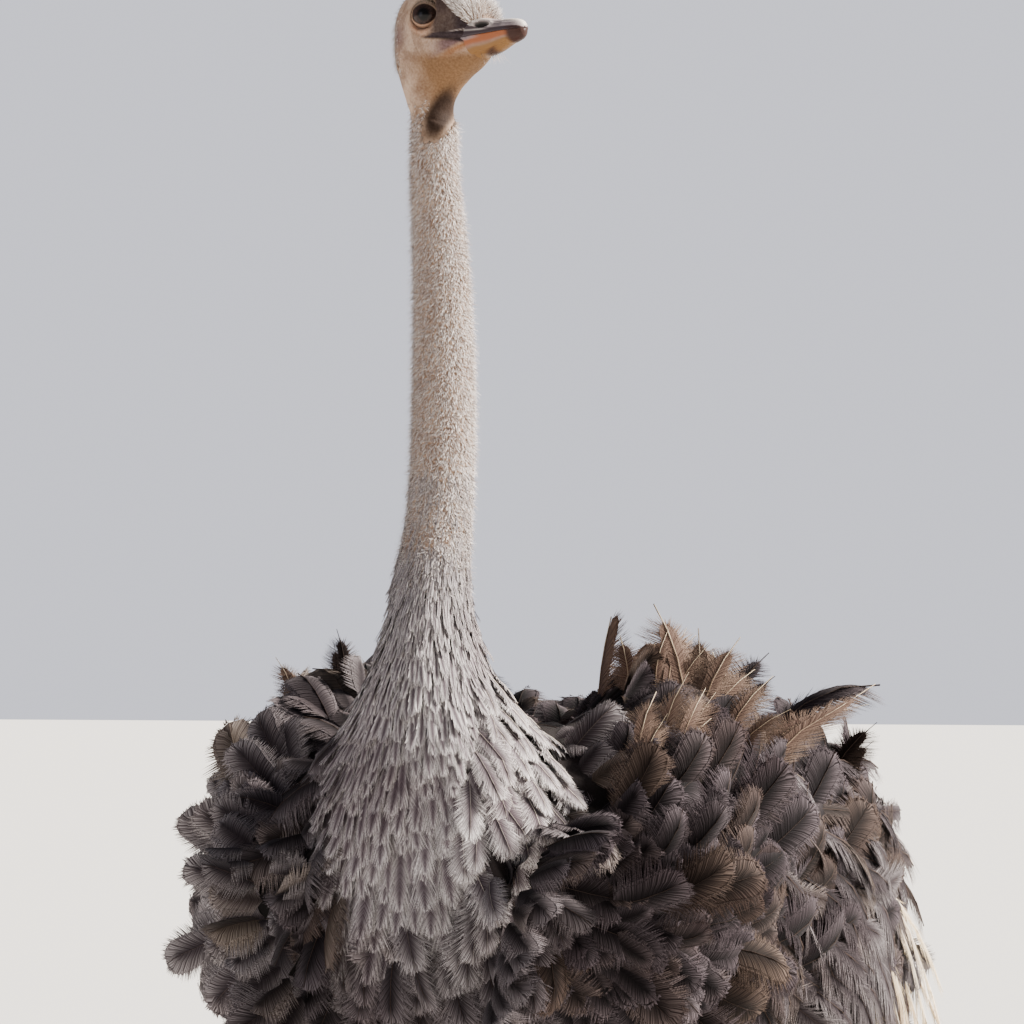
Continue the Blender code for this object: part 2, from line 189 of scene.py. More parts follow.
class Mesh:
    """Points, faces and values at the points, gathered from several surfaces of one piece."""

    def __init__(self):
        self.points, self.faces, self.bake, self.values, self.count = [], [], [], [], 0

    def add(self, points, faces, bake, **values):
        """Faces number these points from 0. Values are one number for each point, or one for all."""
        points = points.reshape(-1, 3)
        self.points.append(points)
        self.faces.append(np.asarray(faces) + self.count)
        self.bake.append(np.broadcast_to(bake, (len(points), 2)))
        self.values.append({k: np.broadcast_to(np.ravel(v), len(points)) for k, v in values.items()})
        self.count += len(points)

    def make(self, name, finish, slot, nodes=()):
        """One smooth-shaded object of everything added, riding on the root body."""
        points = np.concatenate(self.points)
        faces = np.concatenate(self.faces)
        thin = faces[:, 2] == faces[:, 3]
        corners = np.where(thin, 3, 4)
        flat = faces[np.arange(4)[None, :] < corners[:, None]]
        mesh = bpy.data.meshes.new(name)
        mesh.vertices.add(len(points))
        mesh.vertices.foreach_set("co", points.astype(np.float32).ravel())
        mesh.loops.add(len(flat))
        mesh.loops.foreach_set("vertex_index", flat.astype(np.int32))
        mesh.polygons.add(len(faces))
        starts = np.concatenate([[0], np.cumsum(corners)[:-1]])
        mesh.polygons.foreach_set("loop_start", starts.astype(np.int32))
        mesh.update(calc_edges=True)
        mesh.polygons.foreach_set("use_smooth", np.ones(len(faces), bool))
        layer = mesh.uv_layers.new(name="OFBake")
        bake = np.concatenate(self.bake)[flat]
        layer.uv.foreach_set("vector", bake.astype(np.float32).ravel())
        for key in self.values[0]:
            spot = mesh.attributes.new(key, "FLOAT", "POINT")
            spot.data.foreach_set("value", np.concatenate([v[key] for v in self.values]).astype(np.float32))
        mesh.materials.append(finish)
        made = bpy.data.objects.new(name, mesh)
        bpy.context.scene.collection.objects.link(made)
        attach(made, "root")
        if nodes:
            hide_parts(*nodes)


# ---------------------------------------------------------------- the skin's shape

# Head: the ring's point on top (forwards, up), its point below (forwards, up) and its half width, in
# millimetres of the head's axes. The rings turn from the face, over the crown, into the neck.
HEAD_RINGS = (
    (63.5, -8, 60, -46, 13.0),
    (58.5, 5.5, 56, -51, 19.0),
    (49.5, 15, 50, -54.5, 24.5),
    (38, 23, 44, -58, 28.5),
    (24, 30, 37, -62, 31.5),
    (8, 35, 28, -66, 34.0),
    (-12, 37, 20.5, -70, 35.5),
    (-34, 31, 14.5, -74.5, 36.0),
    (-53, 15.5, 9, -79.5, 35.0),
    (-62, -9, 4.5, -86, 32.5),
    (-64, -34, 0.5, -93, 29.0),
    (-58, -60, -1.5, -101, 26.0),
    (-51, -84, -0.5, -110.5, 23.5),
    (-45, -105, 1.5, -122, 23.0),
)
# Neck: height, x, y from the trunk's middle, half width, half depth, and how far the head's turn has
# worked down it.
NECK_RINGS = (
    (1.700, 0.0020, -0.4130, 0.0240, 0.0250, 0.75),
    (1.620, 0.0050, -0.4040, 0.0275, 0.0285, 0.40),
    (1.520, 0.0072, -0.3990, 0.0305, 0.0315, 0.10),
    (1.420, 0.0065, -0.3985, 0.0320, 0.0330, 0.00),
    (1.345, 0.0035, -0.4010, 0.0325, 0.0345, 0.00),
)
# Body: the ring's point on top (ahead of the trunk's middle, height), its point below and its half
# width. The rings turn from the neck over the breast to the tail.
BODY_RINGS = (
    (0.3690, 1.295, 0.4520, 1.288, 0.0360),
    (0.3640, 1.250, 0.4720, 1.238, 0.0410),
    (0.3550, 1.208, 0.4910, 1.182, 0.0540),
    (0.3400, 1.170, 0.5080, 1.118, 0.0780),
    (0.3180, 1.142, 0.5200, 1.040, 0.1120),
    (0.2880, 1.124, 0.5170, 0.940, 0.1500),
    (0.2500, 1.112, 0.4820, 0.836, 0.1880),
    (0.1980, 1.106, 0.4050, 0.758, 0.2220),
    (0.1300, 1.106, 0.2850, 0.716, 0.2460),
    (0.0450, 1.110, 0.1300, 0.698, 0.2600),
    (-0.0600, 1.116, -0.0400, 0.700, 0.2660),
    (-0.1750, 1.118, -0.2000, 0.716, 0.2620),
    (-0.2900, 1.108, -0.3450, 0.748, 0.2440),
    (-0.3950, 1.088, -0.4550, 0.800, 0.2060),
    (-0.4800, 1.055, -0.5350, 0.856, 0.1550),
    (-0.5500, 1.010, -0.5900, 0.896, 0.1050),
    (-0.6100, 0.960, -0.6300, 0.890, 0.0620),
    (-0.6500, 0.915, -0.6550, 0.885, 0.0250),
)
HEAD_END = len(HEAD_RINGS)
NECK_END = HEAD_END + len(NECK_RINGS)
LAST = NECK_END + len(BODY_RINGS) - 1
# Bulges of the folded wings' flesh: x, y from the trunk's middle, height, and three radii. Each wing
# leans out by its share of the height.
WING_BULGES = (
    (0.178, -0.165, 0.962, 0.122, 0.250, 0.200),
    (0.228, 0.090, 0.900, 0.112, 0.215, 0.185),
)
WING_LEAN = {1: 0.05, -1: 0.16}  # her left, her right
REACH_POWER = 14  # how sharply trunk and wing bulges meet
REACH_SCALE = 0.3  # a usual reach, which keeps the powers near 1


def ring_table():
    """One row for each ring: its top point, its lowest point and its half width to her left, in world."""
    rows = []
    for top_a, top_h, low_a, low_h, half in HEAD_RINGS:
        ends = np.array(((top_a, 0.0, top_h), (low_a, 0.0, low_h))) / 1000.0
        top, low = from_head(ends)
        rows.append(np.concatenate([top, low, HEAD_AXES[:, 1] * half / 1000.0]))
    full_turn = math.atan2(HEAD_AXES[1, 0], HEAD_AXES[0, 0]) + math.pi / 2
    for z, x, y, half_width, half_depth, share in NECK_RINGS:
        ahead = np.array((math.sin(full_turn * share), -math.cos(full_turn * share), 0.0))
        left = np.array((-ahead[1], ahead[0], 0.0))
        middle = np.array((x, TRUNK_Y + y, z))
        rows.append(
            np.concatenate([middle - ahead * half_depth, middle + ahead * half_depth, left * half_width])
        )
    for top_f, top_z, low_f, low_z, half in BODY_RINGS:
        rows.append((0.0, TRUNK_Y - top_f, top_z, 0.0, TRUNK_Y - low_f, low_z, half, 0.0, 0.0))
    return np.array(rows)


RINGS = ring_table()


def reach_of_bulge(origin, ray, bulge, side):
    """How far a ray from inside the trunk goes before it leaves a wing's bulge: the far root of the
    quadratic |(origin + t ray - centre) / radii|^2 = 1, in space sheared by the wing's lean."""
    x, y, z, *radii = bulge
    centre = np.array((side * x, TRUNK_Y + y, z))
    shear = np.array((side * WING_LEAN[side], 0.0, 0.0))
    start = (origin - centre + (origin[..., 2:] - z) * shear) / radii
    way = (ray + ray[..., 2:] * shear) / radii
    a = (way**2).sum(-1)
    b = (way * start).sum(-1)
    c = (start**2).sum(-1) - 1.0
    inside = b**2 - a * c
    return np.where(inside > 0.0, (-b + np.sqrt(np.maximum(inside, 0.0))) / a, 0.0)


def skin_points(along, around):
    """The skin at (along, around): an oval through each ring's top and lowest points, swollen to the
    wings' bulges. The larger of the reaches is taken softly, as the 14th root of summed 14th powers."""
    row = flow(RINGS, along)
    top, low, half = row[..., :3], row[..., 3:6], row[..., 6:]
    turn = 2.0 * np.pi * np.asarray(around)
    up, out = np.cos(turn), np.sin(turn)
    boxy = 1.0 - 0.16 * smooth(along, HEAD_END - 4.0, HEAD_END - 8.0)
    up = np.sign(up) * np.abs(up) ** boxy
    out = np.sign(out) * np.abs(out) ** boxy
    middle = (top + low) / 2.0
    spoke = (top - low) / 2.0 * up[..., None] + half * out[..., None]
    reach = np.linalg.norm(spoke, axis=-1)
    ray = spoke / np.maximum(reach, 1e-9)[..., None]
    total = (reach / REACH_SCALE) ** REACH_POWER
    body = smooth(along, NECK_END + 1.5, NECK_END + 4.5)
    for side in (1, -1):
        for bulge in WING_BULGES:
            total = total + body * (reach_of_bulge(middle, ray, bulge, side) / REACH_SCALE) ** REACH_POWER
    return middle + ray * (REACH_SCALE * total ** (1.0 / REACH_POWER))[..., None]


def face_relief(points, along):
    """Moves the head's skin out to its side by a sum of soft humps and hollows exp(-(x / width)^2), in
    millimetres: sockets that sink behind the eyes, the rim and the brow round them, the hollow of the
    lore, the cheek, the mouth's crease and the folds behind it, the ear, and fine sine wrinkles."""
    local = to_head(points)
    a, l, h = (local[..., k] * 1000.0 for k in range(3))
    side = np.sign(l)
    away = np.hypot(a - 3.6, h - 0.7)
    bare = smooth(np.abs(l), 12.0, 24.0)
    swell = 2.6 * hump(away - 22.0, 6.0)
    swell -= 13.0 * smooth(away, 18.0, 14.0)
    swell += 1.8 * hump(h - 21.0, 5.0) * hump(a - 4.0, 17.0)
    swell -= 2.6 * hump(a - 29.0, 8.0) * hump(h + 7.0, 8.0)
    swell += 1.5 * hump(a + 2.0, 14.0) * hump(h + 38.0, 10.0)
    crease = h + 29.0 + 0.16 * (a - 45.0)
    swell -= 2.0 * hump(crease, 1.8) * smooth(a, -4.0, 8.0) * smooth(a, 60.0, 48.0)
    swell += 1.2 * hump(crease - 4.5, 2.6) * smooth(a, -2.0, 10.0)
    fold = a + 6.0 + 0.5 * (h + 34.0)
    swell -= 0.9 * hump(fold, 1.5) * hump(h + 38.0, 11.0)
    ear = ((a + 43.0) / 3.0) ** 2 + ((h + 47.0) / 3.4) ** 2
    swell += 0.8 * hump(ear - 1.6, 1.0) - 4.0 * hump(ear, 1.0)
    wrinkle = np.sin(a * 1.1 + h * 0.35 + 1.7 * np.sin(h * 0.22)) * hump(h + 55.0, 22.0)
    swell += 0.22 * wrinkle
    moved = local.copy()
    moved[..., 1] += side * swell * bare / 1000.0
    return np.where((along < HEAD_END)[..., None], from_head(moved), points)


def shown_skin(along, around):
    """The finished skin: its oval shape with the face's relief."""
    along = np.asarray(along, float)
    return face_relief(skin_points(along, around), along)


def frame_at(along, around):
    """Place, way towards the tail, way round to her left and outward normal, by small differences."""
    step_along, step_around = 0.02, 0.002
    place = shown_skin(along, around)
    tailwards = unit(skin_points(along + step_along, around) - skin_points(along - step_along, around))
    round_ = unit(skin_points(along, around + step_around) - skin_points(along, around - step_around))
    normal = unit(np.cross(round_, tailwards))
    return place, tailwards, round_, normal


# The bake map: the body's skin takes the left four fifths, along against around; the legs the rest.
def lengths_along():
    """Distance from the bill, along her left side, at a fine set of ring numbers."""
    at = np.linspace(0.0, LAST, 1200)
    line = skin_points(at, np.full_like(at, 0.25))
    return at, np.concatenate([[0.0], np.cumsum(np.linalg.norm(np.diff(line, axis=0), axis=1))])


AT, DISTANCE = lengths_along()


def bake_place(along, around):
    """Where a point of the skin lies on the bake map."""
    share = np.interp(along, AT, DISTANCE) / DISTANCE[-1]
    return np.stack([0.01 + 0.78 * share, 0.01 + 0.98 * np.mod(around, 1.0)], -1)


def marks(points):
    """The markings, as shares from 0 to 1, all from the place on the head and neck: the bristly crown;
    the dark lore and gape under a pale ridge; mauve on the cheek and behind the eye; the orange edge of
    the mouth; the warm throat; the peach lower lid; and a dark patch that leans across the front of the
    upper neck."""
    local = to_head(points)
    a, l, h = (local[..., k] * 1000.0 for k in range(3))
    crown = smooth(h + 0.95 * np.minimum(a, 58.0), 35.8, 40.8) * smooth(h, -22.0, -12.0)
    crown = np.maximum(crown, smooth(h, 26.0, 32.0))
    lore = smooth(a, 12.0, 22.0) * smooth(h + 0.2 * a, -25.5, -21.0) * (1.0 - crown) * smooth(a, 60.0, 54.0)
    gape_top = -26.5 + 6.0 * smooth(a, -4.0, 24.0)
    gape = smooth(h - gape_top, 3.0, -1.0) * smooth(h + 0.12 * (a - 40.0), -31.5, -28.0)
    gape = gape * smooth(a, -16.0, 14.0)
    ridge = 0.8 * hump(h + 21.2 - 0.05 * (a - 40.0), 0.6) * smooth(a, 31.0, 41.0)
    lip_line = -41.0 + 0.36 * (a - 26.0)
    mauve = 0.95 * smooth(h, -28.0, -31.0) * smooth(h - lip_line, -2.5, 2.0) * smooth(a, 2.0, 34.0)
    mauve = np.maximum(mauve, 0.75 * np.exp(-((a + 37.0) ** 2 + (h + 17.0) ** 2) / 220.0))
    warm = smooth(h, -35.0, -50.0) * smooth(a, -34.0, 8.0) * smooth(h, -112.0, -88.0)
    orange = 0.85 * hump(h - lip_line + 4.0, 3.5) * smooth(a, 14.0, 46.0)
    lid = smooth(np.hypot(a - 3.6, h), 24.0, 17.0) * smooth(h, -2.0, -12.0)
    lean = (a + l + 11.0 - 0.57 * (h + 103.0)) / 24.0
    patch = smooth(lean**2 + ((h + 103.0) / 29.0) ** 2, 1.35, 0.25) * smooth(a - l, -40.0, -22.0)
    dark = np.maximum(lore * (0.85 + 0.15 * smooth(a, 36.0, 50.0)), gape)
    return {
        "lore": dark, "warm": warm, "lid": lid, "patch": patch,
        "crown": crown, "ridge": ridge, "mauve": mauve, "orange": orange,
    }


def plumage(points):
    """Share of the pale grey of neck and breast against the dark brown of the body: full on the neck,
    fading out down and round the breast."""
    x, y, z = (points[..., k] for k in range(3))
    ahead = TRUNK_Y - y
    wide = np.interp(z, (0.88, 1.08), (0.034, -0.010))
    front = smooth(np.abs(x - 0.026) + wide, 0.130, 0.085) * smooth(ahead, 0.27, 0.40) * smooth(z, 0.74, 1.00)
    return np.maximum(front, smooth(z, 1.16, 1.215) * smooth(ahead, 0.24, 0.31))


# ---------------------------------------------------------------- vanes: the shapes of feathers


def fan_outline(share, slim):
    """Where barbs end on a fan-tipped plume: round an oval from 14 degrees off its base to its tip, its
    sine to a power under 1, so that the end is broad and round."""
    turn = np.radians(14.0 + 166.0 * share)
    return 0.60 - np.where(turn < np.pi / 2, 0.42, 0.40) * np.cos(turn), slim * np.sin(turn) ** 0.62


def long_outline(share, slim):
    """Where barbs end on a long loose plume: round an oval from 12 degrees off its base to its tip, wider
    by a straight line towards the tip."""
    turn = np.radians(12.0 + 168.0 * share)
    return 0.56 - 0.44 * np.cos(turn), slim * np.sin(turn) ** 0.8 * (0.72 + 0.28 * share)


def worn_outline(share, slim):
    """Where barbs end on a worn plume: as on the fan, but short of the bare end of its shaft."""
    x, y = fan_outline(share, slim)
    return 0.88 * x, y


def blunt_outline(share, slim):
    """Where barbs end on a blunt lancet: along its straight side first, then across its square end."""
    side = np.clip(share / 0.55, 0.0, 1.0)
    end = np.clip((share - 0.55) / 0.45, 0.0, 1.0)
    x = 0.26 + 0.68 * side + 0.06 * np.sqrt(end)
    return x, slim * (0.60 + 0.40 * side) * (1.0 - 0.96 * end)


BAKE_PATCH = 0.003  # how much of the bake map's width a feather takes
QUILL_ROWS = 5
QUILL_END = 0.97  # of the feather's length, where a quill is hidden at its tip


def vane(
    slim, outline, rows, hairs, web, shaft=(0.06, 0.965), bow=(0.30, 0.62), quill=0.0,
    quill_end=QUILL_END,
):
    """A feather's flat pattern: x along the shaft from 0 to 1, y across in half widths. On each side a
    closed web runs from the shaft out to a share of the way to the outline, which goes from web[0] at
    the base to web[1] at the tip; beyond it single barb ends stand as a fringe of hairs. A barb's line
    is the quadratic curve from its root on the shaft, between the shares in shaft, to its end on the
    outline, with its middle point moved out by the two shares in bow. A quill of this half width, tapered
    to three tenths, covers the shaft as far as quill_end. Returns x, y, the share out along the barb (-1
    to 0 on the quill), the barb's place from base to tip, a number for its random play, and the faces."""

    def line(share, b):
        """Points at these shares out along the barbs that start at these shares of the shaft."""
        root = shaft[0] + (shaft[1] - shaft[0]) * share
        end_x, end_y = outline(share, slim)
        bend_x, bend_y = root + bow[0] * (end_x - root), bow[1] * end_y
        x = (1 - b) ** 2 * root + 2 * b * (1 - b) * bend_x + b**2 * end_x
        return x, 2 * b * (1 - b) * bend_y + b**2 * end_y

    def reach(share):
        """How far out along its barbs the web stays closed."""
        return web[0] + (web[1] - web[0]) * smooth(share, 0.45, 0.95)

    parts, faces, first = [], [], 0
    row = np.linspace(0.0, 1.0, rows)[:, None]
    across = np.array((0.0, 0.5, 1.0))[None, :] * reach(row)
    hair = np.linspace(0.01, 0.995, hairs)
    thick = 0.75 / hairs
    start = reach(hair) - 0.10
    for side in (-1.0, 1.0):
        x, y = line(row + 0 * across, across)
        grid = first + grid_faces(rows, 3, closed=False)
        faces.append(grid if side < 0 else grid[:, ::-1])
        parts.append((x, side * y, across, row + 0 * across, 0 * across))
        first += rows * 3
        low, high = np.clip(hair - thick, 0, 1), np.clip(hair + thick, 0, 1)
        corners = np.stack([line(low, start), line(high, start), line(hair, 1.0 + 0 * hair)], -1)
        corner = first + np.arange(hairs)[:, None] * 3
        kite = np.concatenate([corner, corner + 1, corner + 2, corner + 2], 1)
        faces.append(kite if side < 0 else kite[:, [1, 0, 2, 3]])
        number = np.arange(1, hairs + 1) + (hairs if side > 0 else 0)
        three = np.ones(3)[None, :]
        outs = np.stack([start, start, 1.0 + 0 * hair], -1)
        parts.append((corners[0], side * corners[1], outs, hair[:, None] * three, number[:, None] * three))
        first += hairs * 3
    if quill:
        stripe = np.array((-1.0, 0.0, 1.0))[None, :]
        ends = np.linspace(0.0, quill_end, QUILL_ROWS)[:, None] + 0 * stripe
        share = np.linspace(0.0, QUILL_END, QUILL_ROWS)[:, None] + 0 * stripe
        half = quill * (1.0 - 0.7 * share) * stripe
        parts.append((ends, half, 0.98 * abs(stripe) - 1.0 + 0 * share, share, 0 * share))
        corner = (first + np.arange(QUILL_ROWS - 1)[:, None] * 3 + np.arange(2)[None, :]).ravel()
        faces.append(np.stack([corner, corner + 1, corner + 4, corner + 3], -1))
    x, y, out, lane, barb = (np.concatenate([np.ravel(part[k]) for part in parts]) for k in range(5))
    barb, faces = barb.astype(int), np.concatenate(faces)
    return {"x": x, "y": y / slim, "out": out, "lane": lane, "barb": barb, "faces": faces}


CURL_POWER = 1.6  # a plume bends little at its root and more towards its tip
SHAFT_STEPS = 14


def lay_vanes(mesh, pattern, place, way, normal, length, width, curl, cup, sweep, bake, tone, pale, sag=0.0):
    """Copies the pattern to every place as one set of arrays. The shaft starts along way and turns
    towards the normal by curl times its share to the power 1.6; x and height come from summing the
    cosine and sine of that angle. Across, the vane drops by cup y^2, it swings by sweep x^2, its barb
    ends sag by the share out to the power 1.5, and each barb strays a little, as do its neighbours."""
    count, last = len(place), SHAFT_STEPS - 1
    turned = curl[:, None] * np.linspace(0.0, 1.0, SHAFT_STEPS)[None, :] ** CURL_POWER
    ahead, above = (
        np.pad(np.cumsum((part[:, 1:] + part[:, :-1]) / 2, 1), ((0, 0), (1, 0))) / last
        for part in (np.cos(turned), np.sin(turned))
    )
    x, y, out, barb = (pattern[k] for k in ("x", "y", "out", "barb"))
    loose = chance.normal(0.0, 1.0, (count, int(barb.max()) + 1, 3))
    loose = 0.6 * loose + 0.5 * np.roll(loose, 1, axis=1) + 0.5 * np.roll(loose, 2, axis=1)
    loose[:, 0] = 0.0
    loose = loose[:, barb]
    free = np.clip(out, 0.0, 1.0)
    x = x[None, :] + loose[..., 0] * 0.020 * free**4
    y = y[None, :] * (1.0 + loose[..., 1] * 0.08 * free**4)
    at = np.clip(x, 0.0, 1.0) * last
    low = np.minimum(at.astype(int), last - 1)
    part = at - low
    pick = np.arange(count)[:, None]
    run = ahead[pick, low] * (1 - part) + ahead[pick, low + 1] * part + np.maximum(x - 1.0, 0.0)
    rise = above[pick, low] * (1 - part) + above[pick, low + 1] * part
    angle = curl[:, None] * np.clip(x, 0, 1) ** CURL_POWER
    across = np.cross(normal, way)
    y = y * width[:, None] / length[:, None]
    lift = -cup[:, None] * y**2 + loose[..., 2] * 0.016 * free**4
    lift = lift + 0.012 * (out < -0.5)
    run = run - np.sin(angle) * lift
    rise = rise + np.cos(angle) * lift
    y = y + sweep[:, None] * x**2
    spot = way[:, None, :] * run[..., None] + normal[:, None, :] * rise[..., None]
    spot = spot + across[:, None, :] * y[..., None]
    points = place[:, None, :] + spot * length[:, None, None]
    points[..., 2] -= sag * free**1.5 * length[:, None] * np.clip(x, 0, 1)
    points = kept_inside(points)
    size = len(pattern["x"])
    faces = pattern["faces"][None] + (np.arange(count) * size)[:, None, None]
    patch = np.stack([np.clip(x, 0, 1) - 0.5, np.clip(y, -0.5, 0.5)], -1) * BAKE_PATCH
    tones = np.broadcast_to(tone[:, None], x.shape) + loose[..., 2] * 0.06 * free
    mesh.add(
        points,
        faces.reshape(-1, 4),
        (bake[:, None, :] + patch).reshape(-1, 2),
        out=np.broadcast_to(out, x.shape),
        lane=np.broadcast_to(pattern["lane"], x.shape),
        tone=tones,
        pale=np.broadcast_to(pale[:, None], x.shape),
    )


CELLS = 240  # each way on the table of areas


def scatter(low, high, spacing, tries, accept=None):
    """Roots spread over the skin between two ring numbers, none nearer to an earlier one than its own
    spacing. Tries are drawn in proportion to area over spacing squared, then kept one by one through a
    table of cubes."""
    fine_along = np.linspace(low, high, CELLS + 1)
    fine_around = np.arange(CELLS) / CELLS
    corner = skin_points(*np.meshgrid(fine_along, fine_around, indexing="ij"))
    edge_a = np.diff(corner, axis=0)
    edge_b = (np.roll(corner, -1, axis=1) - corner)[:-1]
    area = np.linalg.norm(np.cross(edge_a, edge_b), axis=-1).ravel()
    along_cell = np.broadcast_to(fine_along[:-1, None], edge_b.shape[:2]).ravel()
    area = area / spacing(corner[:-1].reshape(-1, 3), along_cell) ** 2
    cell = chance.choice(area.size, tries, p=area / area.sum())
    row, column = np.divmod(cell, CELLS)
    step = fine_along[1] - fine_along[0]
    along = fine_along[row] + step * chance.uniform(0, 1, tries)
    around = (column + chance.uniform(0, 1, tries)) / CELLS
    place = shown_skin(along, around)
    if accept is not None:
        keep = accept(place, along, around)
        along, around, place = along[keep], around[keep], place[keep]
    need = spacing(place, along)
    cube = need.max()
    table, kept = {}, []
    keys = np.floor(place / cube).astype(int)
    near = [(i, j, k) for i in (-1, 0, 1) for j in (-1, 0, 1) for k in (-1, 0, 1)]
    for n, (key, spot, apart) in enumerate(zip(keys.tolist(), place.tolist(), (need**2).tolist())):
        others = (
            other for i, j, k in near for other in table.get((key[0] + i, key[1] + j, key[2] + k), ())
        )
        x, y, z = spot
        if all((x - a) ** 2 + (y - b) ** 2 + (z - c) ** 2 >= apart for a, b, c in others):
            table.setdefault(tuple(key), []).append(spot)
            kept.append(n)
    return along[kept], around[kept]


def lay_blades(mesh, place, way, normal, length, width, bend, bake, **values):
    """Bristles and down: each a ribbon of two widths and a point, in the plane of way and its side.
    Its middle lies at 55 % of the length and its point is bent towards the skin by bend lengths."""
    count = len(place)
    side = unit(np.cross(normal, way))
    share = np.array((0.0, 0.0, 0.55, 0.55, 1.0))
    across = np.array((-0.5, 0.5, -0.42, 0.42, 0.0))
    points = place[:, None, :] + way[:, None, :] * (share[None, :] * length[:, None])[..., None]
    points = points + side[:, None, :] * (across[None, :] * width[:, None])[..., None]
    points = points - normal[:, None, :] * (share[None, :] ** 2 * (bend * length)[:, None])[..., None]
    start = np.arange(count)[:, None] * 5
    faces = np.concatenate([start + np.array((0, 1, 3, 2)), start + np.array((2, 3, 4, 4))])
    patch = np.stack([across * 0.5, share - 0.5], -1) * BAKE_PATCH
    spread = {k: np.repeat(np.broadcast_to(v, count), 5) for k, v in values.items()}
    spread["out"] = np.tile(share, count)
    mesh.add(points, faces, (bake[:, None, :] + patch[None]).reshape(-1, 2), **spread)


def even_roots(low, high, gap):
    """Roots a gap apart in rows round a slim stretch of skin, each moved at random by up to half of it."""
    reach = np.interp((low, high), AT, DISTANCE)
    stations = np.interp(np.arange(reach[0], reach[1], gap), DISTANCE, AT)
    ring = np.arange(48) / 48.0
    rings = skin_points(stations[:, None], ring[None, :])
    girth = np.linalg.norm(rings - np.roll(rings, 1, axis=1), axis=-1).sum(1)
    counts = np.maximum(6, (girth / gap).astype(int))
    along = np.repeat(stations, counts)
    number = np.arange(counts.sum()) - np.repeat(np.cumsum(counts) - counts, counts)
    around = (number + chance.uniform(-0.5, 0.5, len(along))) / np.repeat(counts, counts)
    step = np.repeat(np.gradient(stations), counts)
    along = along + step * chance.uniform(-0.5, 0.5, len(along))
    return np.clip(along, 0.02, LAST - 0.02), np.mod(around, 1.0)


# ---------------------------------------------------------------- materials


def add(tree, links, kind, output=0, **settings):
    """Adds a node of this kind with its settings and links, and gives back one of its outputs. links
    goes from an input's name or number to another node's output or to a value."""
    made = tree.nodes.new(kind)
    for key, value in settings.items():
        setattr(made, key, value)
    for key, value in links.items():
        if isinstance(value, bpy.types.NodeSocket):
            tree.links.new(value, made.inputs[key])
        else:
            made.inputs[key].default_value = value
    return made.outputs[output]


# What add is called with most. A mix goes by its input 0 from the colour at 6 to the colour at 7. A step
# rises in a soft S from 0 to 1 while its input 0 goes from the value at 1 to the value at 2.
MIX = {"kind": "ShaderNodeMix", "output": 2, "data_type": "RGBA"}
STEP = {"kind": "ShaderNodeMapRange", "interpolation_type": "SMOOTHSTEP"}
SUM = {"kind": "ShaderNodeMath"}
NOISE = {"kind": "ShaderNodeTexNoise", "output": "Fac"}
BUMP = {"kind": "ShaderNodeBump", "output": "Normal"}


def begin(name, *kept):
    """A new material: its tree, its shader, the object's own coordinates and the values kept at points."""
    made = bpy.data.materials.new(name)
    made.use_nodes = True
    tree = made.node_tree
    place = add(tree, {}, "ShaderNodeTexCoord", "Object")
    values = [add(tree, {}, "ShaderNodeAttribute", "Fac", attribute_name=key) for key in kept]
    return made, tree, tree.nodes["Principled BSDF"], place, values


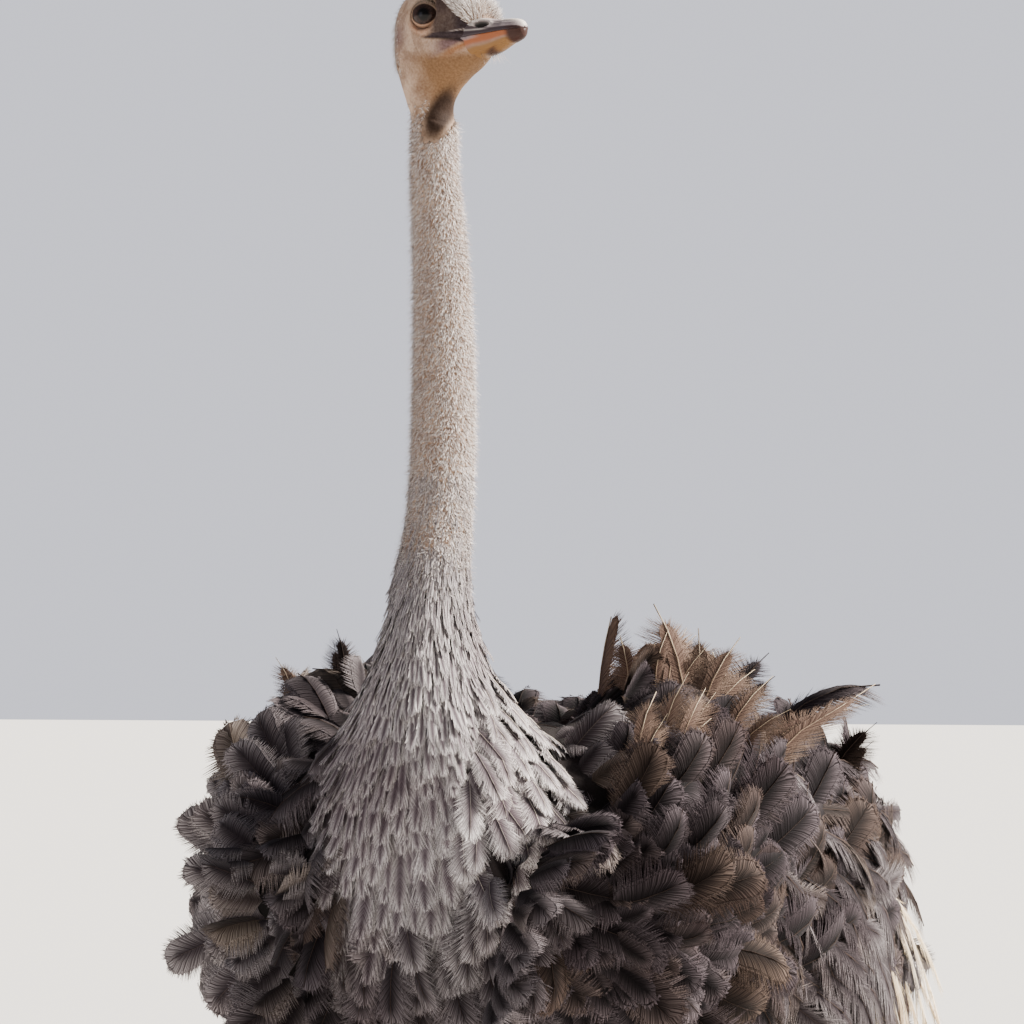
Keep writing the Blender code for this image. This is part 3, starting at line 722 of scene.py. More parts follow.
def feather_keratin():
    """Loose-barbed feather keratin, grown. Its barbs don't lock, so the eye gets a matt face with a trace
    of sheen, dark where barbs lie together near the shaft, lighter in the fringe of their ends, and
    streaked where they clump. The lines and clumps are 2 mm apart on a plume of 90 mm, coarser than real
    barbs, which are 0.5 mm apart and wouldn't show. The mottle is 110 mm broad, as sun and dust leave it."""
    # The worn brown is partly painted light: a worn brown, lightened to stand in for the light that shines
    # through these thin, loose plumes.
    barb_colours = (
        ("131012", "5E565A"), ("1D1714", "64564D"), ("655349", "A08C7C"), ("60575C", "FAF6F4")
    )  # near the shaft and at the ends: fresh, brown, worn and grey plumes
    made, tree, shader, place, values = begin("feather_keratin", "out", "tone", "pale", "lane")
    out, tone, pale, lane = values
    lines = add(tree, {0: lane, 1: 300.0}, operation="MULTIPLY", **SUM)
    lines = add(tree, {0: lines}, operation="SINE", **SUM)
    clump = add(tree, {0: tone, 1: 37.0, 2: lane}, operation="MULTIPLY_ADD", **SUM)
    clump = add(tree, {"W": clump, "Scale": 46.0, "Detail": 3.0}, noise_dimensions="1D", **NOISE)
    barbs = add(tree, {0: lines, 1: 0.20, 2: clump}, operation="MULTIPLY_ADD", **SUM)
    barbs = add(tree, {0: barbs, 1: 0.26, 2: 0.72}, **STEP)
    barbs = add(tree, {0: barbs, 1: 0.74, 2: 0.26}, operation="MULTIPLY_ADD", **SUM)
    fringe = add(tree, {0: out, 1: 0.02, 2: 1.0}, **STEP)
    fringe = add(tree, {0: barbs, 1: fringe}, operation="MULTIPLY", **SUM)
    dark, brown, worn, grey = (
        add(tree, {0: fringe, 6: linear(web), 7: linear(ends)}, **MIX) for web, ends in barb_colours
    )
    is_worn = add(tree, {0: tone, 1: 1.1, 2: 1.2}, **STEP)
    brown = add(tree, {0: is_worn, 6: brown, 7: worn}, **MIX)
    body = add(tree, {0: add(tree, {0: tone, 1: 0.45, 2: 1.0}, **STEP), 6: dark, 7: brown}, **MIX)
    creamy = add(tree, {0: tone, 1: 0.6, 2: 1.7}, **STEP)
    cream = add(tree, {0: creamy, 6: grey, 7: linear("DCC9A6")}, **MIX)
    colour = add(tree, {0: pale, 6: body, 7: cream}, **MIX)
    mottle = add(tree, {"Vector": place, "Scale": 9.0, "Detail": 3.0}, **NOISE)
    mottle = add(tree, {0: mottle, 1: 0.35, 2: 0.7}, **STEP)
    colour = add(tree, {0: mottle, 6: colour, 7: linear("8A8486")}, blend_type="SOFT_LIGHT", **MIX)
    streak = add(tree, {0: clump, 1: 0.36, 2: 0.60}, **STEP)
    streak = add(tree, {0: streak, 6: linear("A8A2A4"), 7: linear("FFFFFF")}, **MIX)
    colour = add(tree, {0: 1.0, 6: colour, 7: streak}, blend_type="MULTIPLY", **MIX)
    bare = add(tree, {0: lane, 1: 0.45, 2: 0.85}, **STEP)
    bare = add(tree, {0: bare, 6: linear("86735F"), 7: linear("E2D2B6")}, **MIX)
    quill = add(tree, {0: is_worn, 6: linear("3A2F29"), 7: bare}, **MIX)
    light = add(tree, {0: pale, 1: 0.2, 2: 0.8}, **STEP)
    quill = add(tree, {0: light, 6: quill, 7: linear("CFC5B8")}, **MIX)
    shaft = add(tree, {0: out, 1: -0.3, 2: -0.9}, **STEP)
    colour = add(tree, {0: shaft, 6: colour, 7: quill}, **MIX)
    bump = add(tree, {"Height": clump, "Strength": 0.6, "Distance": 0.0012}, **BUMP)
    tree.links.new(colour, shader.inputs["Base Color"])
    tree.links.new(bump, shader.inputs["Normal"])
    shader.inputs["Roughness"].default_value = 0.66
    shader.inputs["Specular IOR Level"].default_value = 0.03
    shader.inputs["Sheen Weight"].default_value = 0.02
    shader.inputs["Sheen Roughness"].default_value = 0.5
    return made


def living_skin():
    """Thin live skin, dry. The eye gets a dull, finely pored and wrinkled surface, tan on the face and
    throat with the head's markings laid over it one by one, and horn-brown down the legs. Under the
    body's feathers it is painted near black, dark grey under the pale coat, as painted shade, so that
    gaps between the feathers read as shadow. Its blotches are 18 mm, its wrinkles 2.4 mm and its pores
    1.1 mm apart; real pores are 0.4 mm apart and wouldn't show."""
    # rim is painted shade: the darkening along the lids' edges and in their fold.
    markings = {
        "warm": "755B42", "lid": "AF8F78", "mauve": "6A5658", "orange": "8A5C38",
        "lore": "342C2F", "ridge": "B5AAA4", "patch": "30241D", "rim": "3A2F2A",
    }
    made, tree, shader, place, values = begin("living_skin", "pale", "coat", "leg", *markings)
    pale, coat, leg, *shares = values
    fine = add(tree, {"Vector": place, "Scale": 420.0, "Detail": 4.0}, **NOISE)
    broad = add(tree, {"Vector": place, "Scale": 55.0, "Detail": 3.0}, **NOISE)
    broad = add(tree, {0: broad, 1: 0.35, 2: 0.65}, **STEP)
    colour = add(tree, {0: broad, 6: linear("8B7565"), 7: linear("AE9987")}, **MIX)
    for share, tint in zip(shares, markings.values()):
        colour = add(tree, {0: share, 6: colour, 7: linear(tint)}, **MIX)
    # Painted shade: near black under the dark plumage and dark grey under the pale coat, so that gaps between
    # the feathers read as shadow.
    under = add(tree, {0: coat, 6: linear("0B0808"), 7: linear("353031")}, **MIX)
    shows = add(tree, {0: pale, 1: 0.0, 2: 0.25}, **STEP)
    colour = add(tree, {0: shows, 6: under, 7: colour}, **MIX)
    leg = add(tree, {0: leg, 1: 0.2, 2: 0.8}, **STEP)
    colour = add(tree, {0: leg, 6: colour, 7: linear("62564D")}, **MIX)
    wrinkle = add(tree, {0: fine, 1: 0.15, 2: 0.95}, **STEP)
    colour = add(tree, {0: wrinkle, 6: colour, 7: linear("80756C")}, blend_type="SOFT_LIGHT", **MIX)
    pores = add(
        tree, {"Vector": place, "Scale": 900.0}, "ShaderNodeTexVoronoi", "Distance",
        feature="DISTANCE_TO_EDGE",
    )
    height = add(tree, {0: pores, 1: fine}, operation="ADD", **SUM)
    bump = add(tree, {"Height": height, "Strength": 0.5, "Distance": 0.0009}, **BUMP)
    tree.links.new(colour, shader.inputs["Base Color"])
    tree.links.new(bump, shader.inputs["Normal"])
    shader.inputs["Roughness"].default_value = 0.62
    shader.inputs["Specular IOR Level"].default_value = 0.06
    return made


def down_keratin():
    """Bristly down, grown. The eye gets dull hairs, horn-coloured at the root and bleached at the point,
    brown ones where the skin below is dark."""
    made, tree, shader, _, (out, tone, dark) = begin("down_keratin", "out", "tone", "dark")
    colour = add(tree, {0: out, 6: linear("6E5A4A"), 7: linear("FCF9F6")}, **MIX)
    dusty = add(tree, {0: tone, 1: 0.0, 2: 1.0}, **STEP)
    colour = add(tree, {0: dusty, 6: colour, 7: linear("B8A59B")}, blend_type="MULTIPLY", **MIX)
    brown = add(tree, {0: out, 6: linear("3A2E27"), 7: linear("7A6A5C")}, **MIX)
    colour = add(tree, {0: dark, 6: colour, 7: brown}, **MIX)
    tree.links.new(colour, shader.inputs["Base Color"])
    shader.inputs["Roughness"].default_value = 0.6
    shader.inputs["Specular IOR Level"].default_value = 0.4
    shader.inputs["Sheen Weight"].default_value = 0.15
    return made


def bill_horn():
    """Horn, grown in one sheath and worn smooth. The eye gets a dull satin: grey on top, near black along
    the upper half's edge, orange to golden on the lower half, a rust-brown tip and a nail, all in a grain
    6 mm broad, as the sheath grows and wears in patches. Painted light is laid on it too: near black in
    the nostrils as painted shade, a painted highlight on the nail's top and a painted shadow low on the
    lower half."""
    # nail is a painted highlight on the nail's top, with the nostrils' pale brims and a pale line; tip is the
    # rust-brown tip with a painted shadow low on the lower half.
    tints = {"orange": "824A2B", "golden": "6F4F2C", "tip": "2E1812", "nail": "C3BAB2"}
    made, tree, shader, place, (dark, *shares) = begin("bill_horn", "dark", *tints)
    grain = add(tree, {"Vector": place, "Scale": 160.0, "Detail": 4.0}, **NOISE)
    patchy = add(tree, {0: grain, 1: 0.3, 2: 0.7}, **STEP)
    colour = add(tree, {0: patchy, 6: linear("7E7376"), 7: linear("968B8A")}, **MIX)
    # Up to 1 the dark grey of the horn's edge; past 1 the near black of the nostrils, painted shade.
    for low, high, tint in ((0.0, 1.0, "382F32"), (1.0, 1.8, "080606")):
        share = add(tree, {0: dark, 1: low, 2: high}, **STEP)
        colour = add(tree, {0: share, 6: colour, 7: linear(tint)}, **MIX)
    for share, tint in zip(shares, tints.values()):
        colour = add(tree, {0: share, 6: colour, 7: linear(tint)}, **MIX)
    bump = add(tree, {"Height": grain, "Strength": 0.25, "Distance": 0.0005}, **BUMP)
    tree.links.new(colour, shader.inputs["Base Color"])
    tree.links.new(bump, shader.inputs["Normal"])
    shader.inputs["Roughness"].default_value = 0.52
    shader.inputs["Specular IOR Level"].default_value = 0.18
    return made


def scute_keratin():
    """Keratin scutes, grown as overlapping plates. The eye gets horn-grey satin, clouded every 4.5 mm, a
    toe plate's width, darker towards each plate's rim."""
    made, tree, shader, place, (edge,) = begin("scute_keratin", "edge")
    grain = add(tree, {"Vector": place, "Scale": 220.0, "Detail": 4.0}, **NOISE)
    cloudy = add(tree, {0: grain, 1: 0.3, 2: 0.7}, **STEP)
    colour = add(tree, {0: cloudy, 6: linear("665B53"), 7: linear("837669")}, **MIX)
    rim_darkening = add(tree, {0: edge, 1: 0.25, 2: 0.95}, **STEP)
    colour = add(tree, {0: rim_darkening, 6: colour, 7: linear("4C423C")}, **MIX)
    bump = add(tree, {"Height": grain, "Strength": 0.3, "Distance": 0.0006}, **BUMP)
    tree.links.new(colour, shader.inputs["Base Color"])
    tree.links.new(bump, shader.inputs["Normal"])
    shader.inputs["Roughness"].default_value = 0.5
    return made


def wet_eye():
    """A living eye under its film of tears. It shows a black pupil to 30 degrees from the axis, a
    dark brown iris to 50, and one soft highlight on a clear coat. The iris is flecked every 1.4 mm,
    coarser than its real fibres of 0.2 mm, which wouldn't show."""
    made, tree, shader, place, (ring,) = begin("wet_eye", "ring")
    fleck = add(tree, {"Vector": place, "Scale": 700.0, "Detail": 2.0}, **NOISE)
    fleck = add(tree, {0: fleck, 1: 0.35, 2: 0.7}, **STEP)
    iris = add(tree, {0: fleck, 6: linear("1C1211"), 7: linear("33241F")}, **MIX)
    out_of_pupil = add(tree, {0: ring, 1: 15.0, 2: 30.0}, **STEP)
    colour = add(tree, {0: out_of_pupil, 6: linear("050404"), 7: iris}, **MIX)
    out_of_iris = add(tree, {0: ring, 1: 46.0, 2: 54.0}, **STEP)
    colour = add(tree, {0: out_of_iris, 6: colour, 7: linear("120C0A")}, **MIX)
    tree.links.new(colour, shader.inputs["Base Color"])
    shader.inputs["Roughness"].default_value = 0.30
    shader.inputs["Specular IOR Level"].default_value = 0.04
    shader.inputs["Coat Weight"].default_value = 0.2
    shader.inputs["Coat Roughness"].default_value = 0.06
    return made


finishes = {
    "feather": feather_keratin(),
    "skin": living_skin(),
    "down": down_keratin(),
    "horn": bill_horn(),
    "scute": scute_keratin(),
    "eye": wet_eye(),
}


# ---------------------------------------------------------------- skin


HEAD_ROWS, NECK_ROWS, BODY_ROWS = 184, 30, 50  # rings of the skin's grid
SKIN_COLUMNS = 236


def make_skin():
    """The skin as one closed grid of rings, closest together round the eyes."""
    along = np.concatenate([
        np.linspace(0.0, HEAD_END - 1.0, HEAD_ROWS),
        np.linspace(HEAD_END - 1.0, NECK_END, NECK_ROWS)[1:],
        np.linspace(NECK_END, LAST, BODY_ROWS)[1:],
    ])
    even = np.arange(SKIN_COLUMNS) / SKIN_COLUMNS
    along_grid, around_grid = np.meshgrid(along, even + 0.016 * np.sin(4 * np.pi * even), indexing="ij")
    points = shown_skin(along_grid, around_grid)
    every = with_ends(points)
    share = bake_place(along_grid.ravel(), around_grid.ravel())
    skin = Mesh()
    skin.add(
        every, tube_faces(*along_grid.shape), np.concatenate([share, [[0.005, 0.5], [0.795, 0.5]]]),
        pale=plumage_skin(every), leg=0.0, rim=0.0, coat=plumage(every), **marks(every),
    )
    near_eyes = points[:HEAD_ROWS].reshape(-1, 3)
    for side in (1, -1):
        add_lids(skin, to_head(near_eyes), side)
    return skin


def eye_opening(turn):
    """Distance from the eye's axis to the lid's edge: an oval with a small corner before and behind."""
    oval = 1.0 / np.sqrt((np.cos(turn) / 0.0134) ** 2 + (np.sin(turn) / 0.0110) ** 2)
    return oval + 0.0007 * np.maximum(np.cos(turn), 0) ** 8 + 0.0004 * np.maximum(-np.cos(turn), 0) ** 8


def add_lids(skin, local, side):
    """Lids round one eye: a ring of skin from under the lid's edge, which hugs the eyeball, over soft
    folds, out to where it sinks into the face. Its height is the eyeball's sqrt(r^2 - d^2) at the edge
    and the face's own height at the rim, a mean of the skin's points weighted by distance^-4."""
    turns, steps = 136, 24
    turn = np.arange(turns) / turns * 2 * np.pi
    share = np.linspace(0.0, 1.0, steps)
    edge = eye_opening(turn)
    rim = 0.0215 + 0.0010 * np.cos(turn)
    distance = edge[None, :] - 0.0014 + share[:, None] ** 1.2 * (rim - edge + 0.0014)[None, :]
    a, h = distance * np.cos(turn), distance * np.sin(turn)
    seen = to_eye(local, side)
    here = seen[(seen[:, 1] > 0.0) & (np.hypot(seen[:, 0], seen[:, 2]) < 0.034)]
    gap = (here[None, :, 0] - a.reshape(-1, 1)) ** 2 + (here[None, :, 2] - h.reshape(-1, 1)) ** 2
    weight = 1.0 / (gap + 1e-7) ** 2
    face = ((weight * here[None, :, 1]).sum(1) / weight.sum(1)).reshape(steps, turns)
    ball = np.sqrt(EYE_RADIUS**2 - np.minimum(distance, 0.0172) ** 2)
    beyond = (distance - edge) / (rim - edge)
    lip = ball + 0.0016 * smooth(beyond, -0.14, 0.08) - 0.0009
    to_face = smooth(beyond, 0.12, 0.95)
    out = lip * (1 - to_face) + (face + 0.0006) * to_face - 0.0030 * smooth(beyond, 0.90, 1.0)
    folds = np.sin(beyond * 19.0 + 0.8 * np.sin(turn * 2))
    folds = folds * smooth(beyond, 0.12, 0.3) * smooth(beyond, 1.0, 0.8)
    out = out + 0.00045 * folds - 0.0009 * hump(beyond - 0.36, 0.07)
    above_face = face + 0.0006 - 0.0036 * smooth(beyond, 0.90, 1.0)
    out = np.where(beyond > 0.12, np.maximum(out, above_face), out)
    points = from_eye(np.stack([a, out, h], -1), side)
    faces = grid_faces(steps, turns)
    bake_around = 0.25 - 0.2 * side + turn / 40
    bake = np.stack([0.805 - 0.004 * share[:, None] + 0 * a, bake_around[None, :] + 0 * a], -1)
    # Painted shade: the lid is darkened where its edge tucks in against the eyeball and along the fold that
    # the groove above sinks at 0.36 of the way out, most on the upper lid.
    dark = 0.9 * smooth(beyond, 0.05, 0.0) + 0.85 * hump(beyond - 0.36, 0.085)
    dark = dark * (0.70 + 0.30 * smooth(np.sin(turn), -0.7, 0.2))[None, :]
    ring = hump(beyond - 0.14, 0.06).ravel()
    values = marks(points.reshape(-1, 3))
    values["lid"] = np.maximum(values["lid"], 0.5 * ring)
    skin.add(
        points, faces if side > 0 else faces[:, ::-1], bake.reshape(-1, 2),
        pale=1.0, leg=0.0, rim=dark, coat=0.0, **values,
    )


def plumage_skin(points):
    """1 where the skin shows through bristles and down, 0 under the body's feathers, where the skin takes its
    painted shade.
    """
    return smooth(points[..., 2], 1.26, 1.36)


# Leg: out from the middle, y from the trunk's middle, height, half width, half depth.
LEG = (
    (0.150, -0.055, 0.880, 0.088, 0.135),
    (0.149, -0.010, 0.780, 0.086, 0.130),
    (0.143, 0.048, 0.670, 0.068, 0.096),
    (0.133, 0.098, 0.565, 0.043, 0.056),
    (0.124, 0.126, 0.500, 0.034, 0.043),
    (0.121, 0.135, 0.460, 0.038, 0.047),
    (0.119, 0.128, 0.410, 0.028, 0.035),
    (0.117, 0.107, 0.280, 0.0205, 0.0260),
    (0.115, 0.088, 0.150, 0.0215, 0.0260),
    (0.115, 0.077, 0.080, 0.0290, 0.0330),
    (0.115, 0.070, 0.040, 0.0270, 0.0290),
)
STAGGER_TOP = 0.78  # above this height the legs don't share in the stagger
# Toes: forwards from the foot's joint, height, half width, rise, drop.
INNER_TOE = (
    (-0.050, 0.024, 0.008, 0.008, 0.012),
    (-0.040, 0.028, 0.022, 0.022, 0.032),
    (-0.005, 0.034, 0.032, 0.034, 0.040),
    (0.035, 0.029, 0.029, 0.027, 0.034),
    (0.075, 0.025, 0.031, 0.023, 0.030),
    (0.115, 0.021, 0.028, 0.019, 0.026),
    (0.145, 0.017, 0.021, 0.015, 0.022),
    (0.158, 0.015, 0.010, 0.008, 0.012),
)
OUTER_TOE = (
    (0.000, 0.022, 0.018, 0.018, 0.026),
    (0.030, 0.021, 0.019, 0.018, 0.026),
    (0.060, 0.018, 0.0195, 0.015, 0.023),
    (0.085, 0.015, 0.015, 0.012, 0.020),
    (0.097, 0.013, 0.006, 0.006, 0.010),
)
TOES = {"inner": INNER_TOE, "outer": OUTER_TOE}
TOE_JOINT = 0.040  # from one joint's swelling to the next
OUTER_TOE_SPLAY = math.radians(27.0)
OUTER_TOE_ROOT = (0.018, 0.008)
PAD_SINK = 0.003
CLAWS = {"inner": (0.148, 0.046, 0.0125), "outer": (0.088, 0.018, 0.0075)}  # start, length, radius


def leg_points(side, at, around):
    """A leg at (station, turn from its front): an oval, with the hock's two knobs, its wrinkles and the
    grooves beside the tendon down its back."""
    x, y, z, half_width, half_depth = np.moveaxis(flow(LEG, at), -1, 0)
    turn = 2.0 * np.pi * np.asarray(around)
    step = -side * STAGGER * np.clip((STAGGER_TOP - z) / STAGGER_TOP, 0.0, 1.0) ** 0.8
    hock = hump(z - 0.455, 0.034)
    knob = 0.0030 * hock * np.abs(np.sin(turn)) ** 3
    folds = 0.0009 * np.sin(z * 520.0 + 1.4 * np.sin(turn * 2)) * hump(z - 0.47, 0.075)
    back = smooth(-np.cos(turn), 0.2, 0.5) * smooth(-np.cos(turn), 0.95, 0.7)
    groove = -0.0035 * back * smooth(z, 0.44, 0.36) * smooth(z, 0.08, 0.14)
    muscle = 0.004 * np.sin(turn * 2.0 + 1.0) * smooth(z, 0.60, 0.70)
    swell = knob + folds + groove + muscle * side
    return np.stack([
        side * (x + (half_width + swell) * np.sin(turn)),
        TRUNK_Y + y + step - (half_depth + swell) * np.cos(turn),
        z + 0.0 * turn,
    ], -1)


def toe_axes(side, name):
    """Where a toe starts, the way it points and the way across it."""
    root = np.array((side * LEG[-1][0], TRUNK_Y + LEG[-1][1] - side * STAGGER, 0.0))
    splay = 0.0
    if name == "outer":
        root = root + (side * OUTER_TOE_ROOT[0], OUTER_TOE_ROOT[1], 0.0)
        splay = side * OUTER_TOE_SPLAY
    ahead = np.array((math.sin(splay), -math.cos(splay), 0.0))
    return root, ahead, np.array((math.cos(splay), math.sin(splay), 0.0))


def toe_points(side, name, at, around):
    """A toe at (station, turn from its top): an oval with a swelling at each joint, pressed flat where it
    stands on the floor."""
    along, z, half_width, rise, drop = np.moveaxis(flow(TOES[name], at), -1, 0)
    turn = 2.0 * np.pi * np.asarray(around)
    up, out = np.cos(turn), np.sin(turn)
    wave = np.cos(along * 2 * np.pi / TOE_JOINT)
    joint = 0.0014 * wave * smooth(half_width, 0.012, 0.02)
    height = z + np.where(up > 0, rise + joint, drop) * np.sign(up) * np.abs(up) ** 0.9
    pads = 0.0012 * wave * smooth(up, 0.1, -0.4)
    across = (half_width + joint + pads) * np.sign(out) * np.abs(out) ** 0.9
    root, ahead, aside = toe_axes(side, name)
    points = root + ahead * along[..., None] + aside * across[..., None]
    points[..., 2] = np.maximum(height - PAD_SINK, 0.0)
    return points


LEG_GRID, TOE_GRID, CLAW_GRID = (160, 56), (64, 44), (40, 32)  # rows, columns


def add_tube(mesh, shape, rows, columns, last, corner, size, **values):
    """A closed tube: shape gives its points from (station, turn); corner and size place it on the bake
    map. One whose summed volume a . (b x c) / 6 comes out negative is inside out and is turned."""
    at, around = np.meshgrid(np.linspace(0.0, last, rows), np.arange(columns) / columns, indexing="ij")
    every = with_ends(shape(at, around))
    faces = tube_faces(rows, columns)
    a, b, c, d = (every[faces[:, k]] for k in range(4))
    volume = ((a * np.cross(b, c)).sum() + (a * np.cross(c, d)).sum()) / 6.0
    share = np.stack([at / last, around], -1).reshape(-1, 2)
    share = np.concatenate([share, [[0.0, 0.5], [1.0, 0.5]]])
    bake = np.array(corner) + share * np.array(size)
    values = {k: v(every) if callable(v) else v for k, v in values.items()}
    mesh.add(every, faces if volume > 0 else faces[:, ::-1], bake, **values)


def add_legs(skin):
    """The legs' skin: a tube for each leg, which starts inside the body, and one for each toe."""
    bare = {key: 0.0 for key in marks(np.zeros((1, 3)))} | {"pale": 1.0, "rim": 0.0, "coat": 0.0}
    for side, column in ((1, 0.82), (-1, 0.91)):
        add_tube(
            skin, lambda at, around: leg_points(side, at, around), *LEG_GRID, len(LEG) - 1.0,
            (column, 0.36), (0.08, 0.62),
            leg=lambda points: 0.35 + 0.65 * smooth(points[:, 2], 0.62, 0.44), **bare,
        )
        for name, row in (("inner", 0.02), ("outer", 0.19)):
            add_tube(
                skin, lambda at, around: toe_points(side, name, at, around), *TOE_GRID,
                len(TOES[name]) - 1.0, (column, row), (0.08, 0.15), leg=1.0, **bare,
            )


skin = make_skin()
add_legs(skin)
names = ["head", "neck_upper", "neck_middle", "neck_lower", "trunk", "tail"]
for name in ("left", "right"):
    names += [f"{part}_{name}" for part in ("wing", "thigh", "shank", "toe_inner", "toe_outer")]
skin.make("skin", finishes["skin"], "face_skin", names)


# ---------------------------------------------------------------- scutes and claws


PLATE_GRID = 7  # points each way on a scute
PLATE_HALF = 0.49  # of the pitch, so that scutes all but touch
BAKED_PLATES = 16  # scutes in a row of their bake map


def add_plates(mesh, shape, at, around, half_at, half_around, thick, first):
    """Scutes: each a shield over the skin, thick * (1 - u^4)(1 - v^4) proud of it and sunk at its rim."""
    grid = np.linspace(-1.0, 1.0, PLATE_GRID)
    u, v = np.meshgrid(grid, grid, indexing="ij")
    here = at[:, None, None] + half_at[:, None, None] * u
    turn = around[:, None, None] + half_around[:, None, None] * v
    points = shape(here, turn)
    step = 0.01
    by_at = shape(here + step, turn) - shape(here - step, turn)
    by_turn = shape(here, turn + step) - shape(here, turn - step)
    normal = unit(np.cross(by_at, by_turn))
    inwards = points.mean((1, 2), keepdims=True) - shape(here, turn + 0.5).mean((1, 2), keepdims=True)
    normal = normal * np.sign((normal * inwards).sum(-1, keepdims=True).mean((1, 2), keepdims=True))
    crown = (1 - u**4) * (1 - v**4) * (1 + 0.25 * u)
    points = points + normal * (thick * crown - 0.0004)[None, ..., None]
    count = len(at)
    faces = grid_faces(PLATE_GRID, PLATE_GRID, closed=False)[None]
    faces = (faces + (np.arange(count) * PLATE_GRID**2)[:, None, None]).reshape(-1, 4)
    flat = points.reshape(-1, 3)
    way = np.cross(flat[faces[:, 1]] - flat[faces[:, 0]], flat[faces[:, 2]] - flat[faces[:, 0]])
    wrong = (way * normal.reshape(-1, 3)[faces[:, 0]]).sum(-1) < 0
    faces[wrong] = faces[wrong][:, ::-1]
    cell = np.arange(count) + first
    corner = np.stack([cell % BAKED_PLATES, cell // BAKED_PLATES], -1) / BAKED_PLATES + 0.005
    patch = np.stack([(u + 1) / 2, (v + 1) / 2], -1) * 0.05
    bake = corner[:, None, None, :] + patch[None]
    edge = np.broadcast_to(1 - crown.clip(0, 1), (count, PLATE_GRID, PLATE_GRID))
    mesh.add(flat, faces, bake.reshape(-1, 2), edge=edge)


def make_scutes():
    """Broad plates down the front of each shank, 11.8 mm apart, and over the top of each toe, 7.8 and 6.6
    mm apart."""
    scutes, number = Mesh(), 0
    for side in (1, -1):
        heights = np.arange(0.385, 0.062, -0.0118)
        stations = np.linspace(5.0, 10.0, 400)
        at = np.interp(-heights, -flow(LEG, stations)[:, 2], stations)
        half = PLATE_HALF * np.abs(np.gradient(at))
        wide = np.interp(heights, (0.06, 0.12, 0.39), (0.185, 0.175, 0.145))
        front = 0.0 * at + side * 0.01
        add_plates(scutes, lambda a, b: leg_points(side, a, b), at, front, half, wide, 0.0016, number)
        number += len(at)
        for name, low, high, pitch in (("inner", -0.004, 0.146, 0.0078), ("outer", 0.010, 0.088, 0.0066)):
            fine = np.linspace(0.0, len(TOES[name]) - 1.0, 400)
            at = np.interp(np.arange(low, high, pitch), flow(TOES[name], fine)[:, 0], fine)
            half = PLATE_HALF * np.abs(np.gradient(at))
            add_plates(
                scutes, lambda a, b: toe_points(side, name, a, b), at, 0.0 * at, half,
                np.full(len(at), 0.150), 0.0014, number,
            )
            number += len(at)
    scutes.make("scutes", finishes["scute"], "leg_skin")


def claw_points(side, name, at, around):
    """A claw at (share of its length, turn): a ring of radius r (1 - 0.55 t^1.5) sqrt(1 - t^8), a little
    wider than high, on a line that bends down to the floor as t^2."""
    start, length, radius = CLAWS[name]
    turn = 2.0 * np.pi * np.asarray(around)
    t = np.asarray(at)
    size = radius * (1.0 - 0.55 * t**1.5) * np.sqrt(np.maximum(1.0 - t**8, 0.0))
    middle = radius * 1.12 - 0.30 * radius * t**2 - 0.12 * radius * t
    along = start - 0.010 + (length + 0.010) * t
    across = size * 1.08 * np.sin(turn)
    root, ahead, aside = toe_axes(side, name)
    points = root + ahead * along[..., None] + aside * across[..., None]
    keel = np.where(np.cos(turn) < 0, 0.80, 1.0)
    points[..., 2] = np.maximum(middle + size * keel * np.cos(turn), 0.0006)
    return points


def make_claws():
    """Four claws, each in place of its own solid."""
    for side, end in ((1, "left"), (-1, "right")):
        for name in ("inner", "outer"):
            claw = Mesh()
            add_tube(
                claw, lambda at, around: claw_points(side, name, at, around), *CLAW_GRID, 1.0,
                (0.02, 0.02), (0.96, 0.96), dark=0.75, orange=0.0, golden=0.0, tip=0.0, nail=0.0,
            )
            claw.make(f"claw_{name}_{end}_horn", finishes["horn"], "claw_horn", (f"claw_{name}_{end}",))


make_scutes()
make_claws()


# ---------------------------------------------------------------- eyes and bill


def make_eye(side, name):
    """An eyeball with a cornea: radius - 0.4 mm + 0.9 mm exp(-(angle / 26 deg)^2) round its gaze."""
    rings, columns = 48, 64
    angle = np.linspace(0.0, np.pi, rings)[1:-1]
    turn = np.arange(columns) / columns * 2 * np.pi
    radius = EYE_RADIUS - 0.0004 + 0.0009 * hump(np.degrees(angle), 26.0)
    ring = radius * np.sin(angle)
    out = radius * np.cos(angle)
    a, h = ring[:, None] * np.cos(turn), ring[:, None] * np.sin(turn)
    points = np.stack([a, np.broadcast_to(out[:, None], a.shape), h], -1).reshape(-1, 3)
    poles = np.array(((0, EYE_RADIUS + 0.0005, 0), (0, -EYE_RADIUS, 0)))
    fore, out_share = math.sin(GAZE), math.cos(GAZE)
    turned = np.array(((out_share, fore, 0.0), (-fore, out_share, 0.0), (0.0, 0.0, 1.0)))
    points = from_eye(np.concatenate([points, poles]) @ turned.T, side)
    faces = tube_faces(rings - 2, columns)
    degrees = np.concatenate([np.repeat(np.degrees(angle), columns), (0.0, 180.0)])
    flat = np.stack([degrees / 180.0, np.concatenate([np.tile(turn / 6.3, rings - 2), (0, 0)])], -1)
    eye = Mesh()
    eye.add(points, faces if side > 0 else faces[:, ::-1], flat, ring=degrees)
    eye.make(f"eyeball_{name}", finishes["eye"], "eye", (f"eye_{name}",))


